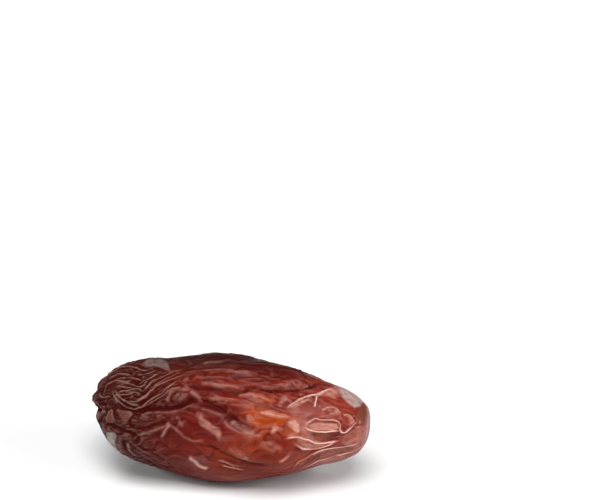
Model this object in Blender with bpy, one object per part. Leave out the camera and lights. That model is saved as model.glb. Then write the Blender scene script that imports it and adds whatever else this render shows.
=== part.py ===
"""A dried date: one plump fruit, skin and flesh grown as one body, lying on its side.

The long axis runs along X, with the stem end at -X and the blunt tip at +X.
Sizes are in millimetres until the mesh is written, which is in metres, +Z up.
The folds of the side that is seen best are drawn in the pixels of a 600 by 500 picture of it.
"""

import math

import bmesh
import bpy
import numpy as np

# Driving dimensions of the plump body, before its folds are raised
LENGTH = 48.0
WIDTH = 22.9
HEIGHT = 20.9
PRESSED_DEPTH = 0.45
MM = 0.001

# Half of the outline: share of half the length, and share of half the thickness
HALF_OUTLINE = [
    (-1.0, 0.0), (-0.988, 0.18), (-0.946, 0.32), (-0.88, 0.49), (-0.805, 0.64), (-0.645, 0.825),
    (-0.375, 0.94), (-0.083, 1.0), (0.133, 0.98), (0.42, 0.86), (0.683, 0.637), (0.813, 0.547),
    (0.933, 0.405), (0.988, 0.236), (1.0, 0.0),
]

# The middle line: share of half the length, and how far it lies above the straight axis
MIDDLE_LINE = [
    (-1.0, 2.1), (-0.95, 1.7), (-0.88, 0.8), (-0.80, 0.2), (-0.65, -0.3), (-0.5, -0.35), (0.0, -0.25),
    (0.33, 0.15), (0.67, 0.1), (0.83, 0.0), (0.93, 0.2), (1.0, 0.8),
]

# The picture that the folds are drawn in: how it looks at the fruit, and its scale
VIEW_TURN = math.radians(10.0)
VIEW_TILT = math.radians(26.5)
VIEW_DISTANCE = 287.0
PIXELS_PER_MM = 5.8
PICTURE_MIDDLE = (231.5, 418.0)

# The mesh is worked out finely, then thinned where it is smooth
RINGS = 190
SEGMENTS = 288
KEPT_TRIANGLES = 11600

# A fold is its kind, its height and half width, and the picture points along its crest.
# A ridge stands up, a roll leans over to the left of its line, a groove sinks in, and a lap steps
# down to one side of its line.
STEM_END_PLEATS = [
    ("ridge", 0.23, 0.26, [(102, 387), (110, 381), (120, 375), (130, 372), (143, 372), (151, 371)]),
    ("ridge", 0.23, 0.26, [(104, 384), (112, 377), (120, 371), (128, 366), (135, 361)]),
    ("ridge", 0.25, 0.26, [(112, 383), (120, 379), (127, 378), (134, 378)]),
    ("ridge", 0.16, 0.26, [(115, 385), (121, 383), (128, 384), (133, 382)]),
    ("ridge", 0.16, 0.26, [(116, 389), (123, 388), (130, 389), (136, 388)]),
    ("ridge", 0.16, 0.26, [(139, 377), (145, 375), (151, 373), (156, 370)]),
    ("ridge", 0.20, 0.26, [(140, 385), (146, 381), (152, 377), (158, 373)]),
    ("ridge", 0.30, 0.26, [(146, 390), (150, 386), (153, 382), (157, 379)]),
    ("ridge", 0.16, 0.26, [(118, 395), (124, 392), (131, 391), (138, 389), (144, 392)]),
    ("lap", 0.32, 0.40, [(145, 369), (150, 365), (156, 361), (161, 361)]),
    ("ridge", 0.16, 0.26, [(146, 369), (155, 367), (163, 368), (171, 370)]),
]
V_FOLD = [
    ("ridge", 0.26, 0.26, [(117, 391), (121, 397), (127, 402), (134, 405), (141, 406)]),
    ("ridge", 0.26, 0.26, [
        (114, 393), (119, 401), (126, 406), (134, 409), (142, 408), (148, 404), (155, 399), (162, 395),
        (169, 390), (173, 386), (181, 385),
    ]),
    ("ridge", 0.18, 0.26, [(146, 407), (154, 402), (162, 398), (169, 393), (175, 390), (183, 388)]),
    ("ridge", 0.18, 0.26, [
        (136, 400), (143, 399), (149, 395), (155, 389), (161, 385), (168, 381), (176, 377), (186, 374),
    ]),
    ("ridge", 0.15, 0.26, [(150, 391), (156, 386), (163, 381), (172, 376), (180, 372)]),
    ("lap", 0.24, 0.45, [(113, 393), (116, 399), (118, 404)]),
    ("lap", 0.16, 0.35, [(171, 403), (171, 397), (176, 391), (184, 391), (190, 393)]),
]
LONG_CREASES = [
    ("groove", 0.62, 0.90, [
        (106, 404), (115, 405), (125, 407), (136, 410), (150, 410), (163, 409), (176, 407), (186, 404),
        (193, 401), (200, 399), (208, 401), (217, 405), (226, 411), (236, 418), (247, 424), (258, 429),
    ]),
    ("roll", 0.30, 0.45, [
        (140, 416), (150, 413), (161, 412), (172, 412), (181, 410), (188, 407), (194, 404), (200, 404),
    ]),
    ("groove", 0.40, 0.48, [
        (188, 378), (191, 384), (196, 388), (206, 389), (218, 390), (230, 391), (241, 392), (247, 390),
        (253, 387), (260, 387), (275, 389), (290, 389), (304, 389), (316, 387), (330, 388),
    ]),
    ("roll", 0.20, 0.40, [(238, 388), (228, 387), (215, 386), (203, 384)]),
    ("roll", 0.20, 0.40, [(305, 386), (298, 382), (291, 384), (281, 386), (270, 387), (261, 385)]),
    ("groove", 0.22, 0.35, [(195, 381), (210, 380), (225, 380), (242, 380), (258, 381), (275, 380)]),
    ("ridge", 0.12, 0.35, [(180, 371), (200, 372), (220, 372), (240, 374), (258, 375)]),
    ("ridge", 0.21, 0.26, [
        (225, 362), (250, 366), (270, 368), (290, 371), (304, 373), (314, 377), (324, 382),
    ]),
]
MIDDLE_FOLDS = [
    ("roll", 0.22, 0.55, [(202, 408), (212, 410), (221, 413), (228, 416)]),
    ("ridge", 0.17, 0.95, [(200, 412), (204, 419), (210, 426), (217, 431), (223, 437), (230, 443)]),
    ("roll", 0.20, 0.55, [(226, 420), (233, 427), (241, 432), (250, 436), (260, 438)]),
    ("roll", 0.15, 0.50, [(240, 415), (247, 421), (256, 427)]),
    ("roll", 0.15, 0.55, [(262, 441), (270, 446), (278, 448)]),
    ("roll", 0.16, 0.50, [(230, 446), (240, 452), (250, 458)]),
    ("ridge", 0.17, 0.70, [(265, 411), (273, 413), (282, 416), (291, 417)]),
    ("groove", 0.32, 0.45, [(205, 446), (218, 450), (232, 456), (250, 462), (272, 462)]),
]
TIP_END_FOLDS = [
    ("ridge", 0.31, 0.26, [
        (309, 428), (309, 424), (313, 421), (318, 418), (322, 420), (332, 420), (339, 421), (342, 424),
        (342, 430), (346, 433), (351, 430), (355, 426), (358, 423),
    ]),
    ("ridge", 0.31, 0.26, [(308, 426), (310, 429), (317, 431), (326, 432), (335, 431), (342, 431)]),
    ("ridge", 0.31, 0.26, [
        (290, 407), (296, 402), (303, 398), (311, 396), (319, 395), (326, 393), (333, 391),
    ]),
    ("ridge", 0.24, 0.26, [(318, 395), (318, 401), (317, 407)]),
    ("ridge", 0.25, 0.26, [(345, 390), (351, 393), (357, 397), (363, 402)]),
    ("ridge", 0.26, 0.26, [
        (286, 438), (292, 437), (300, 436), (306, 438), (313, 440), (320, 443), (330, 443), (343, 441),
    ]),
    ("ridge", 0.26, 0.26, [
        (295, 441), (299, 444), (306, 447), (314, 448), (323, 448), (331, 446), (339, 442),
    ]),
    ("groove", 0.40, 0.60, [(311, 433), (320, 436), (332, 437), (344, 435)]),
    ("ridge", 0.29, 0.26, [
        (295, 467), (297, 463), (301, 459), (308, 456), (318, 452), (330, 450), (345, 449), (355, 446),
        (363, 442),
    ]),
    ("ridge", 0.24, 0.26, [
        (302, 468), (311, 465), (321, 461), (332, 459), (345, 456), (357, 451), (366, 444),
    ]),
    ("groove", 0.40, 0.50, [(304, 464), (315, 459), (330, 455), (346, 453), (358, 448)]),
    ("groove", 0.32, 0.50, [(343, 440), (352, 435), (358, 430), (368, 425)]),
]
LOWER_FOLDS = [
    ("groove", 0.48, 0.45, [(104, 420), (110, 423), (118, 426), (127, 430), (136, 433), (145, 438)]),
    ("groove", 0.32, 0.45, [(130, 415), (132, 422), (137, 427), (150, 427), (163, 423), (173, 419)]),
    ("roll", 0.24, 0.50, [(140, 434), (150, 432), (160, 429), (168, 426), (171, 420)]),
    ("roll", 0.26, 0.45, [(172, 425), (180, 431), (186, 438), (195, 442), (206, 441)]),
    ("groove", 0.32, 0.45, [(129, 436), (129, 446), (135, 454), (144, 460), (152, 466)]),
    ("lap", 0.28, 0.50, [(108, 431), (117, 431), (119, 440), (117, 449)]),
    ("roll", 0.38, 0.40, [(190, 458), (196, 463), (203, 468), (210, 470)]),
    ("ridge", 0.20, 0.35, [(222, 461), (232, 464), (243, 467)]),
]
MINOR_FOLDS = [
    ("ridge", 0.20, 0.26, [(116, 372), (124, 368), (131, 364)]),
    ("ridge", 0.23, 0.26, [(142, 389), (145, 386), (148, 381)]),
    ("ridge", 0.21, 0.26, [(101, 394), (103, 398), (108, 397), (112, 396)]),
    ("ridge", 0.16, 0.26, [(152, 384), (160, 378), (170, 373), (180, 369)]),
    ("ridge", 0.15, 0.26, [(104, 390), (113, 386), (124, 381), (137, 380), (146, 383)]),
    ("ridge", 0.16, 0.26, [(121, 388), (127, 385), (135, 386), (141, 388), (149, 385)]),
    ("ridge", 0.16, 0.26, [(112, 398), (120, 396), (129, 395), (137, 393), (143, 395)]),
    ("ridge", 0.15, 0.26, [(107, 379), (115, 373), (124, 370), (133, 368)]),
    ("ridge", 0.17, 0.26, [(124, 400), (131, 402), (139, 402), (146, 399), (152, 394)]),
    ("ridge", 0.14, 0.26, [(157, 396), (164, 391), (171, 386), (180, 381)]),
    ("ridge", 0.18, 0.26, [(107, 423), (109, 416), (112, 409), (115, 416), (119, 422)]),
    ("ridge", 0.16, 0.26, [(118, 410), (127, 411), (134, 413), (132, 418), (129, 422)]),
    ("ridge", 0.21, 0.26, [(92, 398), (95, 402), (94, 408)]),
    ("ridge", 0.21, 0.26, [(97, 407), (103, 410), (106, 415), (103, 420)]),
    ("ridge", 0.16, 0.26, [(298, 403), (304, 401), (311, 399)]),
    ("roll", 0.22, 0.30, [(291, 423), (295, 428), (301, 432)]),
    ("ridge", 0.17, 0.26, [(325, 410), (331, 407), (338, 408), (343, 412)]),
    ("ridge", 0.17, 0.26, [(346, 414), (352, 415), (357, 421)]),
    ("ridge", 0.16, 0.30, [(281, 458), (287, 454), (292, 451)]),
    ("ridge", 0.16, 0.26, [(224, 467), (234, 469), (246, 471)]),
    ("ridge", 0.18, 0.26, [(220, 462), (228, 463), (238, 467)]),
    ("ridge", 0.20, 0.28, [(94, 414), (98, 413), (101, 417)]),
    ("ridge", 0.20, 0.35, [(172, 424), (167, 431), (163, 438)]),
    ("ridge", 0.18, 0.40, [(133, 440), (133, 448), (140, 455)]),
    ("groove", 0.20, 0.40, [(142, 444), (150, 449), (158, 454), (166, 462)]),
    ("groove", 0.15, 0.30, [(175, 366), (195, 368), (215, 368), (240, 370), (262, 372)]),
    ("groove", 0.15, 0.30, [(230, 378), (250, 378), (270, 378), (285, 377)]),
    ("ridge", 0.16, 0.35, [(192, 392), (197, 395), (202, 398)]),
]
STEM_KNOBS = [
    ("groove", 0.56, 0.45, [(96, 391), (101, 391), (106, 392)]),
    ("groove", 0.56, 0.45, [(100, 422), (104, 418), (106, 412), (104, 404), (99, 401), (93, 402)]),
    ("groove", 0.40, 0.40, [(93, 410), (98, 411), (103, 409)]),
]
SEEN_FOLDS = (
    STEM_END_PLEATS + V_FOLD + LONG_CREASES + MIDDLE_FOLDS + TIP_END_FOLDS + LOWER_FOLDS + MINOR_FOLDS
    + STEM_KNOBS
)

# Lifted patches of skin, flat on top: height, half width, and the picture points along the middle
LIFTED_PATCHES = [
    (0.09, 0.60, [(243, 394), (252, 395), (262, 396), (274, 399)]),
    (0.08, 0.38, [(284, 404), (286, 399), (290, 394)]),
    (0.10, 0.50, [(266, 413), (274, 413), (283, 416), (291, 416)]),
    (0.08, 0.45, [(251, 416), (254, 421), (261, 426)]),
    (0.11, 0.50, [(236, 422), (243, 427), (251, 432), (261, 436)]),
    (0.11, 0.60, [(222, 438), (219, 432), (212, 428), (206, 422), (201, 415)]),
    (0.08, 0.42, [(268, 441), (275, 443), (282, 446)]),
    (0.08, 0.30, [(284, 457), (288, 453), (292, 450)]),
    (0.08, 0.30, [(250, 457), (244, 452), (238, 447)]),
    (0.11, 0.35, [(276, 431), (279, 428), (283, 429)]),
    (0.07, 0.80, [(213, 398), (220, 398), (226, 400)]),
    (0.07, 0.35, [(194, 393), (198, 396), (202, 400)]),
    (0.11, 0.85, [(177, 398), (182, 396), (187, 396)]),
    (0.06, 0.60, [(187, 378), (189, 384), (191, 389)]),
    (0.07, 0.30, [(180, 418), (182, 422), (184, 426)]),
    (0.07, 0.50, [(116, 398), (119, 402), (120, 396)]),
    (0.07, 0.35, [(122, 384), (128, 384), (134, 385)]),
    (0.07, 0.40, [(129, 392), (133, 394), (136, 392)]),
    (0.08, 0.60, [(96, 402), (96, 404), (96, 406)]),
    (0.06, 0.45, [(124, 436), (125, 442), (126, 449)]),
    (0.08, 0.42, [(295, 405), (303, 401), (313, 398)]),
    (0.07, 0.50, [(329, 394), (334, 393), (339, 392)]),
    (0.06, 0.80, [(350, 446), (357, 441), (365, 436)]),
    (0.07, 0.40, [(318, 454), (330, 453), (345, 452)]),
    (0.06, 0.30, [(316, 462), (330, 461), (345, 458)]),
    (0.07, 0.40, [(326, 411), (331, 409), (334, 413)]),
    (0.07, 0.35, [(336, 413), (341, 413), (343, 418)]),
    (0.07, 0.40, [(348, 415), (352, 418), (353, 424)]),
    (0.07, 0.40, [(300, 439), (310, 443), (322, 446), (334, 444)]),
    (0.03, 0.50, [(205, 385), (216, 385), (228, 386), (238, 387)]),
    (0.03, 0.45, [(280, 386), (290, 385), (300, 386), (306, 388)]),
    (0.06, 0.40, [(206, 363), (218, 362), (230, 361)]),
    (0.06, 0.35, [(236, 374), (246, 375), (258, 376)]),
]
PATCH_EDGE = 0.34

# Flat facets with sharp outlines: height, and the picture points of the outline's corners
FLAT_FACETS = [
    (0.14, [(338, 389), (345, 388), (352, 391), (364, 401), (362, 406), (357, 407), (350, 403), (343, 397)]),
    (0.16, [(110, 431), (118, 431), (121, 434), (119, 442), (122, 451), (116, 449), (111, 441)]),
    (0.12, [(291, 422), (298, 420), (301, 424), (301, 432), (297, 430)]),
    (0.10, [(364, 403), (369, 407), (369, 422), (361, 425), (358, 417), (361, 409)]),
    (0.02, [(303, 466), (305, 460), (318, 456), (345, 453), (345, 456), (330, 459), (318, 462)]),
    (0.06, [(346, 436), (352, 432), (359, 427), (369, 424), (368, 440), (360, 447), (350, 449), (344, 444)]),
    (0.05, [(112, 409), (118, 422), (107, 423)]),
    (0.05, [(118, 410), (134, 413), (129, 422), (122, 417)]),
    (0.05, [(146, 369), (152, 362), (160, 361), (168, 364), (170, 369), (158, 366)]),
    (0.03, [(312, 425), (320, 423), (339, 424), (341, 428), (338, 430), (318, 430), (312, 428)]),
    (0.03, [(298, 441), (312, 443), (328, 445), (340, 442), (326, 447), (310, 447)]),
]
FACET_EDGE = 0.9

# Places that are fuller than the plump body: picture point, size, and height
FULLER = [((102, 384), 1.9, 0.55), ((180, 394), 2.2, 0.25), ((352, 398), 1.6, 0.15)]

# Folds of the far side, which wander along the fruit from seeded starting points
FAR_FOLDS = 40
FAR_SEED = 17
FAR_TURNS = (math.radians(138.0), math.radians(282.0))
FAR_REACH = (-18.0, 13.0)
FAR_STEPS = (6, 17)

# Swells of the whole body and its network of ridges: sizes along, across and up, in millimetres.
# The leaning planes are small dents between the ridges, each tilted its own way.
SWELLS = {"height": 0.35, "sizes": (22.0, 9.0, 9.0), "count": 14, "seed": 3}
SHALLOWS = {"height": 0.22, "sizes": (9.0, 3.2, 3.2), "count": 20, "seed": 31}
LONG_CELLS = {"length": 9.0, "breadth": 2.8, "count": 110, "seed": 5}
SHORT_CELLS = {"length": 4.2, "breadth": 1.3, "count": 700, "seed": 9}
PLEAT_COUNT = 14
LEANING_PLANES = {"length": 3.6, "breadth": 1.5, "count": 420, "seed": 23, "tilt": 0.10, "sharpness": 13.0}
KNOB_COUNT = 6


def smooth_curve(points, count):
    """Points along a curve that passes through the given points, each bend eased by its neighbours."""
    given = np.array(points, float)
    before = 2 * given[0] - given[1]
    after = 2 * given[-1] - given[-2]
    given = np.vstack([before, given, after])
    spans = len(given) - 3
    place = np.linspace(0, spans, count)
    span = np.minimum(place.astype(int), spans - 1)
    part = (place - span)[:, None]
    a, b, c, d = given[span], given[span + 1], given[span + 2], given[span + 3]
    linear = (c - a) * part
    square = (2 * a - 5 * b + 4 * c - d) * part ** 2
    cube = (3 * b - a - 3 * c + d) * part ** 3
    return 0.5 * (2 * b + linear + square + cube)


def evenly_spaced(path, count):
    """The same path with its points at equal distances."""
    steps = np.linalg.norm(np.diff(path, axis=0), axis=1)
    along = np.concatenate([[0.0], np.cumsum(steps)])
    wanted = np.linspace(0.0, along[-1], count)
    return np.stack([np.interp(wanted, along, path[:, axis]) for axis in range(path.shape[1])], axis=1)


def ripples(places, sizes, count, seed):
    """Uneven soft waves: the sum of plane waves in seeded directions, of about unit strength."""
    random = np.random.default_rng(seed)
    directions = random.normal(size=(count, 3))
    directions /= np.linalg.norm(directions, axis=1)[:, None]
    directions *= random.uniform(0.6, 1.4, size=(count, 1))
    starts = random.uniform(0, 2 * math.pi, count)
    scaled = places / np.array(sizes)
    return np.cos(2 * math.pi * scaled @ directions.T + starts).sum(axis=1) * math.sqrt(2 / count)


def half_outline(count):
    """The half outline in millimetres, as x and radius, at equal distances from end to end."""
    outline = smooth_curve(HALF_OUTLINE, 1200)
    outline = outline * (LENGTH / 2, HEIGHT / 2)
    outline[:, 1] = np.maximum(outline[:, 1], 0.0)
    return evenly_spaced(outline, count)


def on_body(x, radius, turn):
    """Places on the plump body; turn is 0 on the side towards -Y and a quarter turn on top."""
    shares, lifts = np.array(MIDDLE_LINE).T
    y = -WIDTH / HEIGHT * radius * np.cos(turn)
    z = radius * np.sin(turn) + np.interp(x, shares * LENGTH / 2, lifts)
    return np.stack([x, y, z], axis=-1)


def plump_body(rings, segments):
    """The body without folds, as a grid of places: one ring for each step along the outline."""
    outline = half_outline(rings + 1)[1:-1]
    turn = np.arange(segments) * 2 * math.pi / segments
    x = np.repeat(outline[:, :1], segments, axis=1)
    return on_body(x, outline[:, 1:], turn[None, :])


def outward(grid):
    """The direction that points out of the skin at each place of the grid."""
    along = np.gradient(grid, axis=0)
    around = np.roll(grid, -1, axis=1) - np.roll(grid, 1, axis=1)
    normal = np.cross(along, around)
    normal /= np.linalg.norm(normal, axis=2, keepdims=True)
    middle = grid.shape[0] // 2
    facing = (normal[middle] * grid[middle]).sum()
    return normal if facing > 0 else -normal


def view_axes():
    """The picture's own axes: towards its eye, to its right, and up its height."""
    back = np.array([
        math.sin(VIEW_TURN) * math.cos(VIEW_TILT),
        -math.cos(VIEW_TURN) * math.cos(VIEW_TILT),
        math.sin(VIEW_TILT),
    ])
    right = np.array([math.cos(VIEW_TURN), math.sin(VIEW_TURN), 0.0])
    return back, right, np.cross(back, right)


def in_picture(places):
    """Where places show in the picture, in pixels: nearer places are drawn a little larger."""
    back, right, up = view_axes()
    scale = PIXELS_PER_MM * VIEW_DISTANCE / (VIEW_DISTANCE - places @ back)
    across = PICTURE_MIDDLE[0] + scale * (places @ right)
    down = PICTURE_MIDDLE[1] - scale * (places @ up)
    return np.stack([across, down], axis=-1)


def seen_skin():
    """The places of the body that face the picture's eye, and the pixels where they show."""
    grid = plump_body(200, 300)
    normal = outward(grid).reshape(-1, 3)
    places = grid.reshape(-1, 3)
    eye = view_axes()[0] * VIEW_DISTANCE
    places = places[((eye - places) * normal).sum(axis=1) > 0]
    return places, in_picture(places)


def to_skin(points, places, pixels):
    """A path on the body: each picture point goes to the skin that shows nearest to it."""
    drawn = smooth_curve(points, 6 * len(points))
    pixels_long = np.linalg.norm(np.diff(drawn, axis=0), axis=1).sum()
    drawn = evenly_spaced(drawn, max(8, int(pixels_long / 2)))
    gaps = ((pixels[None, :, :] - drawn[:, None, :]) ** 2).sum(axis=2)
    path = places[gaps.argmin(axis=1)]
    path[1:-1] = 0.25 * path[:-2] + 0.5 * path[1:-1] + 0.25 * path[2:]
    return path


def far_paths():
    """Wandering folds of the far side: a heading that drifts, a millimetre at each step."""
    random = np.random.default_rng(FAR_SEED)
    outline = half_outline(400)
    for number in range(FAR_FOLDS):
        steps = int(random.integers(*FAR_STEPS))
        heading = random.normal(0.0, 0.12) + np.cumsum(random.normal(0.0, 0.10, steps))
        x = random.uniform(*FAR_REACH) + np.cumsum(np.cos(heading))
        x = np.clip(x, -22.0, 22.0)
        radius = np.interp(x, outline[:, 0], outline[:, 1])
        turn = random.uniform(*FAR_TURNS) + np.cumsum(np.sin(heading)) / np.maximum(radius, 3.0)
        turn = np.clip(turn, *FAR_TURNS)
        kind = ("ridge", "groove", "ridge", "lap")[number % 4]
        height = random.uniform(0.20, 0.45)
        half_width = random.uniform(0.32, 0.6)
        yield kind, height, half_width, on_body(x, radius, turn)


def nearest_on_path(places, path):
    """For each place: its distance to the path, how far along it that is, and the path's nearest step."""
    starts = path[:-1]
    steps = path[1:] - starts
    squares = (steps ** 2).sum(axis=1) + 1e-12
    offsets = places[:, None, :] - starts[None, :, :]
    share = np.clip((offsets * steps).sum(axis=2) / squares, 0.0, 1.0)
    offsets = offsets - share[:, :, None] * steps
    distances = (offsets ** 2).sum(axis=2)
    nearest = distances.argmin(axis=1)
    row = np.arange(len(places))
    lengths = np.sqrt(squares)
    travelled = np.concatenate([[0.0], np.cumsum(lengths)])
    along = (travelled[nearest] + share[row, nearest] * lengths[nearest]) / travelled[-1]
    return np.sqrt(distances[row, nearest]), along, steps[nearest], offsets[row, nearest]


def fold_profile(kind, distance, side, half_width):
    """The height of a fold of unit height at a distance from its line."""
    if kind == "ridge":
        crest = np.exp(-1.6 * (np.sqrt((distance / half_width) ** 2 + 0.06) - math.sqrt(0.06)))
        foot = np.exp(-((distance - 2.4 * half_width) / (1.2 * half_width)) ** 2)
        return crest - 0.22 * foot
    if kind == "roll":
        wide = half_width * np.where(side > 0, 0.6, 1.8)
        return np.exp(-1.4 * (np.sqrt((distance / wide) ** 2 + 0.1) - math.sqrt(0.1)))
    if kind == "groove":
        return -np.exp(-1.2 * (np.sqrt((distance / half_width) ** 2 + 0.2) - math.sqrt(0.2)))
    return side * np.tanh(distance / (0.6 * half_width)) * np.exp(-distance / (3.0 * half_width))


def fold_relief(places, normal, folds):
    """The height that all the folds give the skin; each fades out towards its two ends."""
    relief = np.zeros(len(places))
    for kind, height, half_width, path in folds:
        reach = 4.5 * half_width + 0.6
        low = path.min(axis=0) - reach
        high = path.max(axis=0) + reach
        near = np.nonzero(((places > low) & (places < high)).all(axis=1))[0]
        distance, along, step, offset = nearest_on_path(places[near], path)
        side = np.sign((np.cross(step, offset) * normal[near]).sum(axis=1))
        ends = np.clip(np.minimum(along, 1.0 - along) / 0.18 + 0.15, 0.0, 1.0)
        ends = ends * ends * (3.0 - 2.0 * ends)
        relief[near] += height * ends * fold_profile(kind, distance, side, half_width)
    return relief


def patch_relief(places, paths):
    """Flat tops with soft, ragged edges; where two patches meet, the higher one counts."""
    relief = np.zeros(len(places))
    ragged = 1.0 + 0.30 * ripples(places, (3.0, 1.6, 1.6), 18, 71)
    for height, half_width, path in paths:
        reach = half_width + 2 * PATCH_EDGE
        low = path.min(axis=0) - reach
        high = path.max(axis=0) + reach
        near = np.nonzero(((places > low) & (places < high)).all(axis=1))[0]
        distance, along, step, offset = nearest_on_path(places[near], path)
        slim = half_width * (0.45 + 0.55 * np.sin(math.pi * np.clip(along, 0.08, 0.92)))
        top = np.clip(0.5 + (slim * ragged[near] - distance) / (2 * PATCH_EDGE), 0.0, 1.0)
        relief[near] = np.maximum(relief[near], height * top * top * (3.0 - 2.0 * top))
    return relief


def facet_steps(places, normal):
    """The height of the flat facets: inside each outline, for the places that face the picture's eye.

    A place is inside where a level line from it crosses the outline an odd number of times.
    """
    spots = in_picture(places)
    facing = ((view_axes()[0] * VIEW_DISTANCE - places) * normal).sum(axis=1) > 0
    steps = np.zeros(len(places))
    for height, points in FLAT_FACETS:
        corners = np.array(points, float)
        nearest = np.full(len(places), 1e9)
        odd = np.zeros(len(places), bool)
        for start, end in zip(corners, np.roll(corners, -1, axis=0)):
            side = end - start
            share = np.clip((spots - start) @ side / (side @ side), 0.0, 1.0)
            gap = spots - start - share[:, None] * side
            nearest = np.minimum(nearest, np.hypot(gap[:, 0], gap[:, 1]))
            crosses = (start[1] > spots[:, 1]) != (end[1] > spots[:, 1])
            rise = np.where(crosses, (spots[:, 1] - start[1]) / (side[1] if side[1] else 1.0), 0.0)
            odd ^= crosses & (spots[:, 0] < start[0] + rise * side[0])
        signed = np.where(odd, nearest, -nearest)
        inside = np.clip(0.5 + signed / (2 * FACET_EDGE), 0.0, 1.0) * facing
        steps = np.maximum(steps, height * inside)
    return steps


def fuller_relief(places, seen_places, pixels):
    """A soft round swelling at each of the fuller places, a little longer than it is wide."""
    relief = np.zeros(len(places))
    for pixel, size, height in FULLER:
        gaps = ((pixels - np.array(pixel)) ** 2).sum(axis=1)
        offset = (places - seen_places[gaps.argmin()]) / (1.4 * size, size, size)
        relief += height * np.exp(-(offset ** 2).sum(axis=1))
    return relief


def leaning_relief(places, length, breadth, count, seed, tilt, sharpness):
    """Small planes that each lean their own way, joined by a soft choice of the nearest one."""
    random = np.random.default_rng(seed)
    x = places[:, 0] + 0.30 * length * ripples(places, (6.0, 4.0, 4.0), 16, seed + 1)
    turn = np.arctan2(places[:, 2], -places[:, 1]) + 0.06 * ripples(places, (5.0, 4.0, 4.0), 16, seed + 2)
    total = np.full(len(places), 1e-12)
    mixed = np.zeros(len(places))
    for _ in range(count):
        centre_x, centre_turn = random.uniform(-26.0, 26.0), random.uniform(-math.pi, math.pi)
        lean_x, lean_turn = random.normal(0.0, tilt, 2)
        across = ((turn - centre_turn + math.pi) % (2 * math.pi) - math.pi) * 0.5 * HEIGHT
        distance = np.hypot((x - centre_x) / length, across / breadth)
        near = distance < 2.0
        weight = np.exp(-sharpness * distance[near])
        mixed[near] += weight * (0.5 * lean_x * (x[near] - centre_x) + lean_turn * across[near])
        total[near] += weight
    return np.clip(mixed / total, -0.4, 0.4)


def cell_borders(places, length, breadth, count, seed):
    """A net of long cells round seeded points: how far each place is from a border, and from its point."""
    random = np.random.default_rng(seed)
    x = places[:, 0] + 0.35 * length * ripples(places, (9.0, 6.0, 6.0), 16, seed + 1)
    turn = np.arctan2(places[:, 2], -places[:, 1]) + 0.08 * ripples(places, (7.0, 5.0, 5.0), 16, seed + 2)
    point_x = random.uniform(-27.0, 27.0, count)
    point_turn = random.uniform(-math.pi, math.pi, count)
    first = np.full(len(places), 1e9)
    second = np.full(len(places), 1e9)
    for px, pt in zip(point_x, point_turn):
        around = (turn - pt + math.pi) % (2 * math.pi) - math.pi
        distance = np.hypot((x - px) / length, around * 0.5 * HEIGHT / breadth)
        second = np.minimum(second, np.maximum(first, distance))
        first = np.minimum(first, distance)
    return second - first, first


def net_relief(places, hidden, stem_half, ends):
    """Ridges where the cells of two nets meet, strongest where no fold is drawn, and shallow valleys."""
    border, middle = cell_borders(places, **LONG_CELLS)
    long_net = 0.50 * np.exp(-border / 0.20) - 0.20 * np.exp(-(middle / 0.6) ** 2)
    border, middle = cell_borders(places, **SHORT_CELLS)
    short_net = 0.16 * np.exp(-border / 0.20)
    sizes, count, seed = SHALLOWS["sizes"], SHALLOWS["count"], SHALLOWS["seed"]
    valleys = SHALLOWS["height"] * np.exp(-np.abs(ripples(places, sizes, count, seed)) / 0.12)
    relief = long_net * (0.12 + 0.68 * hidden) * (1.0 - 0.6 * ends)
    relief += short_net * (0.05 + 0.45 * stem_half + 0.15 * hidden)
    return relief - valleys * (0.15 + 0.85 * hidden)


def stem_relief(places, hidden):
    """Pleats that run together at the stem end, and the knobs round the sunken stem scar."""
    turn = np.arctan2(places[:, 2], -places[:, 1])
    radius = np.hypot(places[:, 1], places[:, 2])
    cap = np.clip((-places[:, 0] - 15.5) / 6.0, 0.0, 1.0)
    wobble = 1.6 * ripples(places, (6.0, 6.0, 6.0), 14, 41)
    pleats = np.abs(np.cos(PLEAT_COUNT * turn + wobble)) ** 1.5 - 0.5
    relief = 0.35 * cap * np.clip(radius / 6.0, 0.0, 1.0) * pleats * (0.35 + 0.65 * hidden)
    tip = np.clip((-places[:, 0] - 21.2) / 1.8, 0.0, 1.0)
    relief += 0.55 * tip * np.clip(radius / 3.5, 0.0, 1.0) * np.cos(KNOB_COUNT * turn + 0.8)
    return relief - 0.9 * tip * np.exp(-(radius / 1.3) ** 2)


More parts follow.
